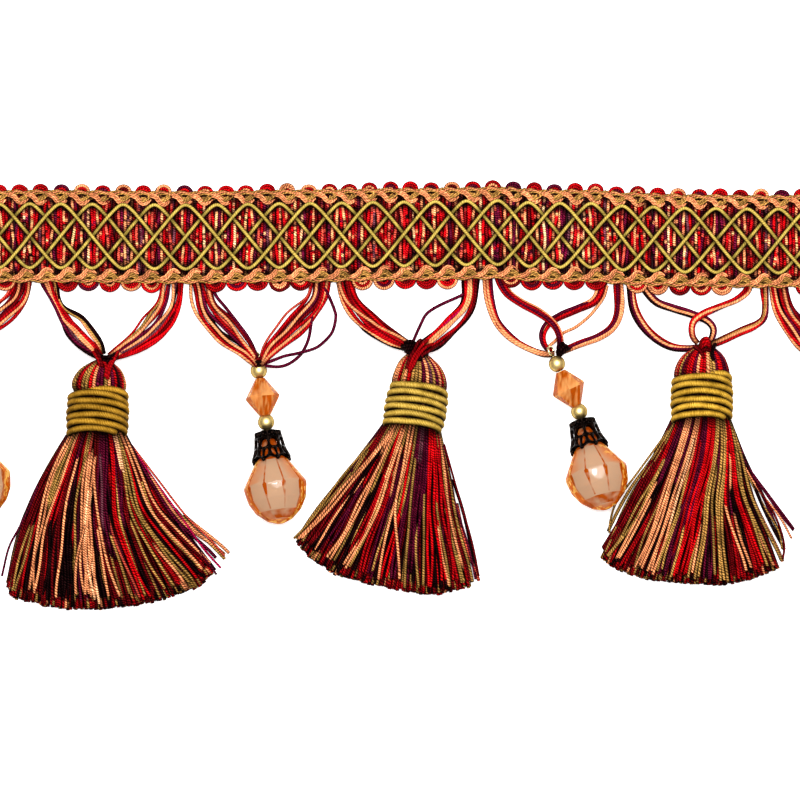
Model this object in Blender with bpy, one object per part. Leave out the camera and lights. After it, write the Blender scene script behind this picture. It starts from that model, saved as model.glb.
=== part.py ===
"""A cut length of beaded tassel fringe, lying face up on a flat surface.

A woven heading runs along X. Yarn loops hang from its lower edge, towards -Y, and carry
bound tassels and bead drops in turn. The origin is on the heading's flat underside, at the
middle of its length, and Z points up out of the cloth's face. Tables are in millimetres.
"""

import math
from typing import NamedTuple

import bmesh
import bpy
from mathutils import Matrix, Vector

MM = 0.001

# Driving sizes of the heading, in millimetres
HEADING_LENGTH = 260.0
GROUND_THICKNESS = 1.6
TOP_CREST, TOP_VALLEY, TOP_PICOT_PITCH = 12.7, 11.6, 5.1
BOTTOM_CREST, BOTTOM_VALLEY, BOTTOM_PICOT_PITCH = -13.6, -12.5, 5.2
LOOP_GAP_EDGE = -11.2  # the ground's lower edge where the loops leave it, in place of picots
GAP = 0.3  # between any two pieces that touch

# The lattice of four gimp cords that crosses the ground's face
CORD_DIAMETER = 1.0
COLUMN_PITCH = 7.8
PEAKS_PER_CORD = 4  # a cord peaks at every fourth column
FIRST_COLUMN_X = 1.0
LATTICE_HALF_HEIGHT = 8.8  # to where the straight slopes would meet
LATTICE_ROUNDING = 0.8  # how far short of it the round turns stop
CORD_RANKS = (0, 3, 1, 2)  # the order in which the cords of phase 0 to 3 lie on each other

# The chained braid along each edge of the ground
TOP_CHAIN_OUTER, TOP_CHAIN_INNER = 11.3, 9.3
BOTTOM_CHAIN_OUTER, BOTTOM_CHAIN_INNER = -11.1, -8.9
CHAIN_ARCH = 0.6
CHAIN_THICKNESS = 1.3

# A tassel's binding and the yarn bundle that it holds
BINDING_HALF_LENGTH = 5.9
BINDING_TURNS = 6
BINDING_SIDES = 12
BINDING_HALF_WIDTH = 7.7
BINDING_HALF_HEIGHT = 6.1
TURN_RELIEF = 0.4
NECK_HALF_WIDTH = 5.4
NECK_HALF_HEIGHT = 3.8
BINDING_AXIS_HEIGHT = 6.0  # a little less than its half height, which leaves a flat underneath
BUNDLE_COLUMNS = 13

# A bead drop's pieces
GOLD_RADIUS = 2.0
BORE_RADIUS = 0.75
PIN_RADIUS = 0.28
EYE_RADIUS = 1.15
EYE_ABOVE_BEAD = 1.6
DROP_RADIUS = 7.95


class Row(NamedTuple):
    """A section of a yarn loop: its middle and its width across."""

    x: float
    y: float
    width: float


class Loop(NamedTuple):
    """A loop's legs, the kind of leg, its shift along the heading, and how its knot hangs.

    sway moves the knot further along X, reach lengthens the fall to it, and spread widens the legs.
    """

    legs: dict
    kind: str
    shift: float = 0.0
    sway: float = 0.0
    reach: float = 1.0
    spread: float = 1.0


class Tassel(NamedTuple):
    """The middle of the binding, the knot above the head, and the lean of the foot towards -X."""

    x: float
    y: float
    knot_x: float
    knot_y: float
    lean: float
    hem: tuple


class Drop(NamedTuple):
    """The top gold bead's middle, then the lean towards +X and the rise of the upper and lower beads."""

    x: float
    y: float
    z: float
    lean: float
    rise: float
    lower_lean: float
    lower_rise: float


# How far the heading's middle strays from a straight line as it lies: (x, y)
CENTRE_LINE = (
    (-130, 0.2), (-92, 0.3), (-54, 0.0), (-22, 0.4), (0, 0.75), (25, 1.1),
    (36, 0.45), (48, 0.4), (58, -0.35), (72, -0.8), (90, -1.0), (130, -0.9),
)

# The legs of the loops, from the heading to the knot or to the eye of a bead drop
WIDE_BEAD_LOOP = {
    "left": (Row(-49.8, -11.5, 6.2), Row(-47.9, -17.8, 7.2), Row(-43.0, -23.6, 7.4), Row(-38.6, -28.0, 4.6),
             Row(-37.3, -29.7, 1.8)),
    "right": (Row(-20.0, -11.5, 5.4), Row(-21.2, -15.8, 6.0), Row(-26.6, -21.8, 6.2), Row(-32.4, -27.4, 4.0),
              Row(-34.3, -29.2, 1.8)),
}
CROSSED_BEAD_LOOP = {
    "left": (Row(21.9, -11.5, 2.2), Row(22.5, -15.8, 2.1), Row(24.1, -20.8, 2.0), Row(27.2, -24.6, 2.0),
             Row(31.0, -27.3, 1.9), Row(35.6, -28.9, 1.7)),
    "right": (Row(54.7, -11.5, 2.3), Row(54.8, -18.2, 2.2), Row(53.3, -22.3, 2.0), Row(50.0, -24.8, 1.9),
              Row(45.0, -26.7, 1.8), Row(40.8, -28.2, 1.6)),
    "cross_left": (Row(25.0, -11.5, 2.2), Row(26.9, -14.0, 2.1), Row(30.3, -16.5, 2.0), Row(34.4, -18.7, 1.9),
                   Row(37.6, -21.0, 1.9), Row(39.4, -23.4, 1.8), Row(39.6, -26.2, 1.6)),
    "cross_right": (Row(50.7, -11.5, 2.3), Row(48.8, -15.6, 2.1), Row(44.4, -17.9, 2.0), Row(40.6, -19.5, 2.0),
                    Row(37.2, -21.7, 1.9), Row(35.8, -24.4, 1.8), Row(36.0, -26.4, 1.6)),
}
TASSEL_LOOP_1 = {
    "left": (Row(-87.8, -11.5, 4.1), Row(-85.3, -17.6, 2.0), Row(-80.8, -23.0, 5.0), Row(-77.2, -26.8, 4.0),
             Row(-75.9, -28.9, 1.9)),
    "right": (Row(-56.8, -11.5, 4.7), Row(-58.0, -17.2, 5.0), Row(-62.0, -22.6, 5.2), Row(-68.6, -27.2, 3.4),
              Row(-72.0, -29.2, 1.9)),
}
TASSEL_LOOP_2 = {
    "left": (Row(-13.9, -11.5, 4.2), Row(-12.4, -15.8, 4.4), Row(-8.2, -21.0, 4.4), Row(-2.6, -25.2, 4.0),
             Row(0.7, -27.0, 2.0)),
    "right": (Row(17.5, -11.5, 4.6), Row(16.6, -17.0, 3.6), Row(13.0, -22.2, 4.0), Row(8.6, -26.0, 3.2),
              Row(4.4, -27.2, 2.0)),
}
TASSEL_LOOP_3 = {
    "left": (Row(57.7, -11.5, 2.0), Row(58.5, -17.6, 2.1), Row(60.7, -22.0, 2.1), Row(63.8, -25.3, 2.0),
             Row(67.6, -27.4, 1.9), Row(71.6, -27.7, 1.7)),
    "right": (Row(91.1, -12.2, 2.0), Row(91.1, -19.4, 2.0), Row(89.3, -21.8, 2.0), Row(85.0, -23.7, 1.9),
              Row(80.8, -25.6, 1.8), Row(79.3, -26.4, 1.7)),
    "cross_left": (Row(60.7, -11.5, 2.1), Row(63.8, -16.0, 2.0), Row(68.2, -17.9, 2.0), Row(72.6, -19.2, 1.9),
                   Row(76.6, -20.8, 1.8), Row(78.3, -22.9, 1.7), Row(78.0, -25.0, 1.5)),
    "cross_right": (Row(87.1, -12.2, 2.1), Row(84.4, -15.6, 2.0), Row(80.0, -17.4, 1.9), Row(75.6, -19.2, 1.8),
                    Row(73.1, -21.4, 1.7), Row(72.7, -24.6, 1.5)),
}

TASSELS = (
    Tassel(-75.6, -43.5, -73.9, -29.6, -0.5,
           ((-99.5, -85.0), (-97.0, -89.6), (-85.8, -92.4), (-74.0, -92.6), (-61.8, -90.8), (-50.7, -87.2),
            (-44.0, -80.2))),
    Tassel(3.9, -43.1, 2.5, -27.2, 8.6,
           ((-26.2, -75.8), (-21.9, -80.1), (-16.2, -83.8), (-7.0, -86.4), (1.2, -88.0), (8.6, -89.1),
            (19.5, -86.4))),
    Tassel(75.3, -40.7, 75.8, -26.6, 0.0,
           ((50.0, -79.6), (54.4, -82.7), (62.5, -85.3), (71.5, -86.0), (80.6, -86.5), (88.4, -85.0),
            (97.2, -81.1))),
)

DROPS = (
    Drop(-111.4, -32.1, 2.9, 13.0, 9.6, 13.0, 9.6),
    Drop(-35.3, -33.4, 2.9, 8.3, 9.6, 8.3, 9.6),
    Drop(39.2, -31.7, 4.15, 25.0, 0.0, 15.0, 13.6),
    Drop(108.8, -36.2, 2.9, 3.0, 9.6, 3.0, 9.6),
)

# From -X to +X. The first and the last repeat the third, which holds a bead drop too
LOOPS = (
    Loop(WIDE_BEAD_LOOP, "bead", shift=-74.6, sway=-1.8, reach=0.93),
    Loop(TASSEL_LOOP_1, "tassel"),
    Loop(WIDE_BEAD_LOOP, "bead"),
    Loop(TASSEL_LOOP_2, "tassel"),
    Loop(CROSSED_BEAD_LOOP, "crossed_bead"),
    Loop(TASSEL_LOOP_3, "crossed_tassel"),
    Loop(WIDE_BEAD_LOOP, "bead", shift=144.4, reach=1.15, spread=0.8),
)
LOOP_START = LOOP_GAP_EDGE - GAP
WIDE_LOOP_FALL = 18.4  # from the heading to the eye of the bead drop

# Distances below the top gold bead's middle, along the pin
BICONE_STATION = 6.85
LOWER_GOLD_STATION = 13.2
CAP_STATION = 15.5
DROP_STATION = 17.6


def material(name, colour, roughness, metallic=0.0):
    made = bpy.data.materials.new(name)
    made.use_nodes = True
    surface = made.node_tree.nodes["Principled BSDF"]
    surface.inputs["Base Color"].default_value = (*colour, 1)
    surface.inputs["Roughness"].default_value = roughness
    surface.inputs["Metallic"].default_value = metallic
    return made


def make_object(name, bm, finish, smooth=True):
    """Turns a bmesh in millimetres into an object in metres."""
    bmesh.ops.recalc_face_normals(bm, faces=bm.faces)
    bmesh.ops.scale(bm, vec=(MM, MM, MM), verts=bm.verts)
    mesh = bpy.data.meshes.new(name)
    bm.to_mesh(mesh)
    bm.free()
    mesh.materials.append(finish)
    if smooth:
        mesh.shade_smooth()
        mesh.set_sharp_from_angle(angle=math.radians(40))
    made = bpy.data.objects.new(name, mesh)
    bpy.context.scene.collection.objects.link(made)
    return made


def add_bands(bm, rings, joined=False):
    """Adds quads between each ring and the next, and between the last and the first where they join."""
    loops = [[bm.verts.new(point) for point in ring] for ring in rings]
    pairs = list(zip(loops, loops[1:]))
    if joined:
        pairs.append((loops[-1], loops[0]))
    for first, second in pairs:
        for i in range(len(first)):
            j = (i + 1) % len(first)
            bm.faces.new((first[i], first[j], second[j], second[i]))
    return loops


def interpolate(table, x):
    """The y of a smooth curve through the table's (x, y) rows."""
    for (x0, y0), (x1, y1) in zip(table, table[1:]):
        if x <= x1:
            share = min(max((x - x0) / (x1 - x0), 0), 1)
            return y0 + (y1 - y0) * share * share * (3 - 2 * share)
    return table[-1][1]


def centre_y(x):
    return interpolate(CENTRE_LINE, x)


def smooth_path(rows, count):
    """Sections evenly spread along a Catmull-Rom curve through the rows, in every column."""
    ends = (rows[0], *rows, rows[-1])
    made = []
    for n in range(count):
        place = n / (count - 1) * (len(rows) - 1)
        i = min(int(place), len(rows) - 2)
        t = place - i
        a, b, c, d = ends[i:i + 4]
        made.append(tuple(
            0.5 * (2 * q + (r - p) * t + (2 * p - 5 * q + 4 * r - s) * t * t + (3 * q - p - 3 * r + s) * t ** 3)
            for p, q, r, s in zip(a, b, c, d)
        ))
    return made


# --- The heading ---------------------------------------------------------------------------


def placed_rows(loop, rows):
    """A leg's rows where this loop hangs, with its foot just under the ground's edge."""
    placed = []
    for row in rows:
        fall = LOOP_START - row.y
        x = row.x + loop.shift + loop.sway * fall / WIDE_LOOP_FALL
        placed.append(Row(x, LOOP_START - fall * loop.reach, row.width * loop.spread))
    placed[0] = placed[0]._replace(y=LOOP_START + centre_y(placed[0].x))
    return placed


def near_loops(x, half_width):
    """Whether a picot this wide would stand where a loop's leg leaves the ground or passes by it."""
    for loop in LOOPS:
        for rows in loop.legs.values():
            for leg_x, leg_y, width in smooth_path(placed_rows(loop, rows), 25):
                clear = half_width + width / 2 + 2 * GAP
                if leg_y > BOTTOM_CREST + centre_y(x) - 2 * GAP and abs(x - leg_x) < clear:
                    return True
    return False


def picot_edge(crest, valley, pitch):
    """The scalloped edge from left to right: a valley and the two shoulders of each picot."""
    half = HEADING_LENGTH / 2
    points = []
    for k in range(round(HEADING_LENGTH / pitch)):
        middle = (k + 0.5) * HEADING_LENGTH / round(HEADING_LENGTH / pitch) - half
        if crest < 0 and near_loops(middle, 0.44 * pitch):
            points += [(middle - 0.5 * pitch, LOOP_GAP_EDGE), (middle + 0.4 * pitch, LOOP_GAP_EDGE)]
            continue
        points += [(middle - 0.44 * pitch, valley), (middle - 0.16 * pitch, crest), (middle + 0.2 * pitch, crest)]
    first, last = points[0][1], points[-1][1]
    return [(-half, first), *points, (half, last if abs(last) < abs(crest) else valley)]


def extrude_outline(name, outline, low, high, finish):
    bm = bmesh.new()
    face = bm.faces.new([bm.verts.new((x, y, low)) for x, y in outline])
    raised = bmesh.ops.extrude_face_region(bm, geom=[face])["geom"]
    verts = [item for item in raised if isinstance(item, bmesh.types.BMVert)]
    bmesh.ops.translate(bm, vec=(0, 0, high - low), verts=verts)
    return make_object(name, bm, finish, smooth=False)


def make_ground(finish):
    top = picot_edge(TOP_CREST, TOP_VALLEY, TOP_PICOT_PITCH)
    bottom = picot_edge(BOTTOM_CREST, BOTTOM_VALLEY, BOTTOM_PICOT_PITCH)
    outline = [(x, y + centre_y(x)) for x, y in bottom + top[::-1]]
    return extrude_outline("heading_ground", outline, 0, GROUND_THICKNESS, finish)


def make_chain(name, outer, inner, pitch, finish):
    """A braided chain with an even outer edge, and an inner edge in shallow arches."""
    half = HEADING_LENGTH / 2
    arches = round(HEADING_LENGTH / pitch)
    step = HEADING_LENGTH / arches
    side = math.copysign(1, outer)
    inner_edge = []
    for k in range(arches):
        x = -half + k * step
        inner_edge += [(x, inner + side * CHAIN_ARCH), (x + step / 2, inner)]
    inner_edge.append((half, inner + side * CHAIN_ARCH))
    outer_edge = [(-half + HEADING_LENGTH * k / 26, outer) for k in range(27)]
    outline = [(x, y + centre_y(x)) for x, y in inner_edge + outer_edge[::-1]]
    low = GROUND_THICKNESS + GAP
    return extrude_outline(name, outline, low, low + CHAIN_THICKNESS, finish)


def lattice_level(column, phase):
    """1 where the cord runs over a neighbour and 0 where it runs on the ground, at columns past its peak.

    It meets the cord of phase + 1 at 0.5 and 2.5, that of phase + 2 at 1 and 3, and that of
    phase + 3 at 1.5 and 3.5.
    """
    rank = CORD_RANKS[phase]
    if rank in (0, len(CORD_RANKS) - 1):
        return float(rank > 0)
    meets = min(max(round(2 * (column % 4)), 1), 7)
    if meets == 4:
        meets = 3
    other = CORD_RANKS[(phase + (meets - 1) % 4 + 1) % PEAKS_PER_CORD]
    return float(rank > other)


def add_wire(name, points, radius, finish):
    """A round cord of one straight piece from each point to the next, in millimetres."""
    curve = bpy.data.curves.new(name, "CURVE")
    curve.dimensions = "3D"
    curve.bevel_depth = radius * MM
    curve.bevel_resolution = 0
    curve.use_fill_caps = True
    spline = curve.splines.new("POLY")
    spline.points.add(len(points) - 1)
    for point, place in zip(spline.points, points):
        point.co = (*(Vector(place) * MM), 1)
    curve.materials.append(finish)
    bpy.context.scene.collection.objects.link(bpy.data.objects.new(name, curve))


def make_lattice_cord(number, phase, finish):
    """One gimp cord: straight slopes and round turns, once across and back every four columns."""
    half = HEADING_LENGTH / 2 - GAP
    low = GROUND_THICKNESS + GAP + CORD_DIAMETER / 2
    places = (-0.26, 0, 0.26, 1.74, 2, 2.26)
    if 0 < CORD_RANKS[phase] < len(CORD_RANKS) - 1:
        places = (-0.26, 0, 0.26, 0.5, 1, 1.5, 1.74, 2, 2.26, 2.5, 3, 3.5)
    points = []
    for turn in range(-5, 6):
        for place in places:
            x = FIRST_COLUMN_X + (PEAKS_PER_CORD * turn + phase + place) * COLUMN_PITCH
            if abs(x) < half:
                points.append((x, lattice_y(place), lattice_level(place, phase)))
    points = [(-half, *points[0][1:]), *points, (half, *points[-1][1:])]
    level = CORD_DIAMETER + GAP
    wire = [(x, y + centre_y(x), low + level * up) for x, y, up in points]
    add_wire(f"lattice_cord_{number}", wire, CORD_DIAMETER / 2, finish)


def lattice_y(place):
    """How high a cord runs on the face, at columns past its peak: round turns, straight slopes."""
    past = abs((place + 2) % 4 - 2)
    to_turn = min(past, 2 - past)
    height = LATTICE_HALF_HEIGHT * (1 - to_turn)
    rounding = LATTICE_ROUNDING * max(0, 1 - to_turn / 0.4) ** 2
    return math.copysign(height - rounding, 1 - past)


# --- The loops -----------------------------------------------------------------------------

# A flattened strand bundle's section: (share of half width, share of thickness)
LEG_SECTION = ((-1, 0.5), (-0.55, 1), (0.55, 1), (1, 0.5), (0.55, 0), (-0.55, 0))


# For each kind of loop: (foot height, foot thickness, end height, end thickness) of its legs
LEG_HEIGHTS = {
    "tassel": (0.1, 1.3, 4.8, 2.4),
    "bead": (0.1, 1.3, 1.8, 2.0),
    "crossed_bead": (0.1, 1.2, 3.2, 1.7),
    "crossed_tassel": (0.1, 1.2, 4.6, 1.8),
}
CROSSING_HEIGHTS = {"above": (0.4, 1.2, 5.2, 1.3), "below": (0.1, 1.2, 2.7, 1.3)}
LEG_SECTIONS = 7
# Which crossing leg passes above the other
UPPER_CROSSING = {"crossed_bead": "cross_left", "crossed_tassel": "cross_right"}


def leg_heights(kind, side):
    if not side.startswith("cross"):
        return LEG_HEIGHTS[kind]
    return CROSSING_HEIGHTS["above" if side == UPPER_CROSSING[kind] else "below"]


def make_leg(name, rows, loop, heights, finish):
    """A yarn leg that lies on the surface at the heading and rises to what it holds."""
    foot, foot_thickness, end, end_thickness = heights
    sections = smooth_path(placed_rows(loop, rows), LEG_SECTIONS)
    rings = []
    for i, (x, y, width) in enumerate(sections):
        before, after = sections[max(i - 1, 0)], sections[min(i + 1, len(sections) - 1)]
        along = Vector((after[0] - before[0], after[1] - before[1])).normalized() if i else Vector((0, -1))
        share = i / (len(sections) - 1)
        rise = share * share * (3 - 2 * share)
        low = foot + (end - foot) * rise
        thickness = foot_thickness + (end_thickness - foot_thickness) * rise
        rings.append([
            (x - along.y * across * width / 2, y + along.x * across * width / 2, low + up * thickness)
            for across, up in LEG_SECTION
        ])
    bm = bmesh.new()
    loops = add_bands(bm, rings)
    bm.faces.new(loops[0])
    bm.faces.new(loops[-1])
    return make_object(name, bm, finish)


# --- The tassels ---------------------------------------------------------------------------


def axes_of(tassel):
    """The directions down the tassel and across it, towards +X."""
    lean = math.radians(tassel.lean)
    return Vector((-math.sin(lean), -math.cos(lean))), Vector((math.cos(lean), -math.sin(lean)))


def columns():
    """Places across a bundle, from -1 to 1, short of both ends so that its sides have a height."""
    return [-0.97 + 1.94 * j / (BUNDLE_COLUMNS - 1) for j in range(BUNDLE_COLUMNS)]


def bundle_ring(places, middle, up, down, lift):
    """A closed section: its top row from left to right, then its lower row back."""
    top, low = [], []
    for j, (across, place) in enumerate(zip(columns(), places)):
        bulge = math.sqrt(1 - across * across)
        top.append((*place, middle + up * bulge * (1 - lift * (j % 2))))
        low.append((*place, max(middle - down * bulge, 0)))
    return top + low[::-1]


# The head and the neck, knot first: (distance from the binding's middle, half width, half height,
# share of the knot's own shift to one side)
HEAD_ROWS = (
    (-12.4, 1.5, 1.3, 1.0),
    (-11.4, 4.3, 3.3, 0.7),
    (-9.6, 6.2, 4.7, 0.3),
    (-7.4, 6.9, 5.4, 0.05),
    (-6.3, 6.6, 5.2, 0.0),
    (-6.2, NECK_HALF_WIDTH, NECK_HALF_HEIGHT, 0.0),
    (6.2, NECK_HALF_WIDTH, NECK_HALF_HEIGHT, 0.0),
)
# The skirt: (share of the way to the hem, middle height, height above it, depth below it)
SKIRT_ROWS = (
    (0.0, 5.6, 4.4, 4.0),
    (0.1, 4.2, 5.4, 4.6),
    (0.28, 2.6, 5.8, 3.4),
    (0.5, 1.8, 5.2, 2.4),
    (0.72, 1.4, 4.2, 2.0),
    (0.9, 1.1, 3.0, 1.6),
    (1.0, 0.9, 2.1, 1.3),
)
KNOT_DEPTH = 0.6  # how far below the knot the head begins
SKIRT_TOP = 6.3
SKIRT_HALF_WIDTH = 6.4
FURROW = 0.16
TIP_STAGGER = 0.7


def hem_places(hem):
    """The skirt's tips, evenly spread along the hem's line."""
    corners = [Vector(point) for point in hem]
    lengths = [(b - a).length for a, b in zip(corners, corners[1:])]
    made = []
    for across in columns():
        left = (across + 1) / 2 * sum(lengths)
        for corner, after, length in zip(corners, corners[1:], lengths):
            if left <= length:
                break
            left -= length
        made.append(corner.lerp(after, min(left / length, 1)))
    return made


def make_bundle(name, tassel, finish):
    """The yarn folded over the loop: a domed head, the bound neck and the spread skirt."""
    down, side = axes_of(tassel)
    middle = Vector((tassel.x, tassel.y))
    rings = []
    knot = Vector((tassel.knot_x, tassel.knot_y)) + down * KNOT_DEPTH
    sway = knot - (middle + down * HEAD_ROWS[0][0])
    for along, half_width, half_height, share in HEAD_ROWS:
        centre = middle + down * along + sway * share
        places = [centre + side * half_width * across for across in columns()]
        rings.append(bundle_ring(places, BINDING_AXIS_HEIGHT, half_height, half_height, 0))
    tips = hem_places(tassel.hem)
    for share, height, up, depth in SKIRT_ROWS:
        places = []
        for j, (across, tip) in enumerate(zip(columns(), tips)):
            start = middle + down * SKIRT_TOP + side * SKIRT_HALF_WIDTH * across
            tip_short = tip + (start - tip).normalized() * TIP_STAGGER * (j % 2) * share
            places.append(start.lerp(tip_short, share))
        rings.append(bundle_ring(places, height, up, depth, FURROW * share))
    bm = bmesh.new()
    loops = add_bands(bm, rings)
    for loop in (loops[0], loops[-1]):
        for j in range(BUNDLE_COLUMNS - 1):
            bm.faces.new((loop[j], loop[j + 1], loop[-2 - j], loop[-1 - j]))
    return make_object(name, bm, finish)


def make_binding(name, tassel, finish):
    """Turns of thick gimp cord round the neck, as one ridged sleeve."""
    down, side = axes_of(tassel)
    middle = Vector((tassel.x, tassel.y))
    inner_width, inner_height = NECK_HALF_WIDTH + GAP, NECK_HALF_HEIGHT + GAP
    profile = []  # (distance along the neck, how far the wall stands out, from 0 inside to 1 outside)
    turn = 2 * BINDING_HALF_LENGTH / BINDING_TURNS
    for n in range(BINDING_TURNS):
        start = -BINDING_HALF_LENGTH + n * turn
        profile += [(start, -TURN_RELIEF), (start + turn / 2, 0)]
    profile.append((BINDING_HALF_LENGTH, -TURN_RELIEF))
    rings = []
    for n in range(BINDING_SIDES):
        angle = math.tau * (n + 0.5) / BINDING_SIDES
        ring = []
        for along, relief in profile:
            centre = middle + down * along
            place = centre + side * math.cos(angle) * (BINDING_HALF_WIDTH + relief)
            height = BINDING_AXIS_HEIGHT + math.sin(angle) * (BINDING_HALF_HEIGHT + relief)
            ring.append((*place, max(height, 0)))
        for along in (BINDING_HALF_LENGTH, -BINDING_HALF_LENGTH):
            centre = middle + down * along
            place = centre + side * math.cos(angle) * inner_width
            ring.append((*place, BINDING_AXIS_HEIGHT + math.sin(angle) * inner_height))
        rings.append(ring)
    bm = bmesh.new()
    add_bands(bm, rings, joined=True)
    return make_object(name, bm, finish)


# --- The bead drops ------------------------------------------------------------------------

# Turned profiles: (radius, distance down the pin), round the material from the bore outwards
GOLD_PROFILE = ((BORE_RADIUS, -1.85), (1.42, -1.41), (2.0, -0.5), (2.0, 0.5), (1.42, 1.41), (BORE_RADIUS, 1.85))
BICONE_PROFILE = (
    (BORE_RADIUS, -4.3), (1.2, -4.3), (4.05, -0.35), (4.05, 0.35), (1.2, 4.3), (BORE_RADIUS, 4.3),
)
CAP_PROFILE = (
    (BORE_RADIUS, 0.0), (3.1, 0.0), (3.4, 2.2), (5.15, 8.0), (4.8, 8.1), (3.0, 2.4), (2.6, 0.4), (BORE_RADIUS, 0.4),
)
DROP_PROFILE = (
    (0.0, 3.0), (BORE_RADIUS, 3.0), (BORE_RADIUS, 0.0), (1.5, 0.0), (4.2, 5.8), (7.8, 11.2), (DROP_RADIUS, 12.4),
    (6.5, 16.4), (4.1, 19.4), (1.9, 21.2), (0.0, 21.5),
)


def turned(name, profile, sides, finish, smooth=True):
    """A profile spun about the pin's line, which runs down the object's own -Z."""
    bm = bmesh.new()
    verts = [bm.verts.new((radius, 0, -along)) for radius, along in profile]
    closed = profile[0][0] > 0
    pairs = list(zip(verts, verts[1:])) + ([(verts[-1], verts[0])] if closed else [])
    edges = [bm.edges.new(pair) for pair in pairs]
    bmesh.ops.spin(bm, geom=verts + edges, cent=(0, 0, 0), axis=(0, 0, 1), angle=math.tau, steps=sides,
                   use_merge=True)
    bmesh.ops.remove_doubles(bm, verts=bm.verts, dist=1e-4)
    return make_object(name, bm, finish, smooth)


def direction(lean, rise):
    """Down the pin: towards -Y, leaning to +X, and rising above the surface."""
    lean, rise = math.radians(lean), math.radians(rise)
    return Vector((math.sin(lean) * math.cos(rise), -math.cos(lean) * math.cos(rise), math.sin(rise)))


def place_on_pin(obj, point, along, roll):
    """Stands the object's own -Z along the pin, its origin at the point."""
    turn = (-along).to_track_quat("Z", "Y").to_matrix() @ Matrix.Rotation(roll, 3, "Z")
    obj.matrix_world = Matrix.LocRotScale(point * MM, turn.to_quaternion(), None)


def make_pin(name, top, bend, end, finish):
    """A wire that runs down through the beads from a round eye, which stands on edge."""
    along = (bend - top).normalized()
    upright = Vector((0, 0, 1))
    across = (upright - along * upright.dot(along)).normalized()
    eye = top - along * (GOLD_RADIUS + EYE_ABOVE_BEAD)
    points = []
    for n in range(11):
        angle = math.radians(40 + 320 * n / 10)
        points.append(eye + along * math.cos(angle) * EYE_RADIUS - across * math.sin(angle) * EYE_RADIUS)
    points += [top - along * GOLD_RADIUS, bend, end]
    add_wire(name, points, PIN_RADIUS, finish)


def make_bead_drop(number, drop, finishes):
    top = Vector((drop.x, drop.y, drop.z))
    upper = direction(drop.lean, drop.rise)
    lower = direction(drop.lower_lean, drop.lower_rise)
    bend = top + upper * LOWER_GOLD_STATION
    cap_top = bend + lower * (CAP_STATION - LOWER_GOLD_STATION)
    drop_top = bend + lower * (DROP_STATION - LOWER_GOLD_STATION)
    stem = f"bead_drop_{number}"
    pieces = (
        (f"{stem}_upper_gold_bead", GOLD_PROFILE, 8, "gold", top, upper, True),
        (f"{stem}_bicone", BICONE_PROFILE, 8, "bicone", top + upper * BICONE_STATION, upper, False),
        (f"{stem}_lower_gold_bead", GOLD_PROFILE, 8, "gold", bend, (upper + lower).normalized(), True),
        (f"{stem}_cap", CAP_PROFILE, 10, "cap", cap_top, lower, True),
        (f"{stem}_drop", DROP_PROFILE, 10, "drop", drop_top, lower, False),
    )
    for name, profile, sides, finish, point, along, smooth in pieces:
        made = turned(name, profile, sides, finishes[finish], smooth)
        place_on_pin(made, point, along, math.pi / sides)
    make_pin(f"{stem}_eye_pin", top, bend, drop_top + lower * 2.4, finishes["gold"])


def main():
    for obj in list(bpy.data.objects):
        bpy.data.objects.remove(obj)
    finishes = {
        "ground": material("ground_yarn", (0.35, 0.03, 0.04), 0.75),
        "chain": material("chain_yarn", (0.55, 0.27, 0.11), 0.7),
        "gimp": material("gold_gimp", (0.32, 0.26, 0.07), 0.45),
        "loop": material("loop_yarn", (0.45, 0.05, 0.05), 0.7),
        "tassel": material("tassel_yarn", (0.3, 0.07, 0.05), 0.75),
        "gold": material("gold_metal", (0.85, 0.62, 0.25), 0.2, 1.0),
        "bicone": material("amber_crystal", (0.85, 0.3, 0.06), 0.1),
        "drop": material("peach_crystal", (0.9, 0.6, 0.4), 0.05),
        "cap": material("dark_bronze", (0.03, 0.02, 0.015), 0.4, 1.0),
    }
    make_ground(finishes["ground"])
    make_chain("edge_chain_top", TOP_CHAIN_OUTER, TOP_CHAIN_INNER, TOP_PICOT_PITCH, finishes["chain"])
    make_chain("edge_chain_bottom", BOTTOM_CHAIN_OUTER, BOTTOM_CHAIN_INNER, BOTTOM_PICOT_PITCH, finishes["chain"])
    for phase in range(PEAKS_PER_CORD):
        make_lattice_cord(phase + 1, phase, finishes["gimp"])
    for number, loop in enumerate(LOOPS, 1):
        for side, rows in loop.legs.items():
            make_leg(f"loop_{number}_{side}", rows, loop, leg_heights(loop.kind, side), finishes["loop"])
    for number, tassel in enumerate(TASSELS, 1):
        make_bundle(f"tassel_{number}_yarn", tassel, finishes["tassel"])
        make_binding(f"tassel_{number}_binding", tassel, finishes["gimp"])
    for number, drop in enumerate(DROPS, 1):
        make_bead_drop(number, drop, finishes)


main()
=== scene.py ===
# %% [markdown]
# # A length of beaded tassel fringe
# Such trim is made in layers. A narrow cloth, the heading, carries a lattice of gimp cords and a chained
# braid along each edge. Its weft yarns run on past the lower edge as loops, and the loops hold tassels and
# beads. The frame below is the plain model of every piece at its real size. Each piece here is built over its
# node.

# %% Open the frame
import math
import random
from typing import NamedTuple

import bmesh
import bpy
import numpy as np
from mathutils import Matrix, Vector


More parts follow.
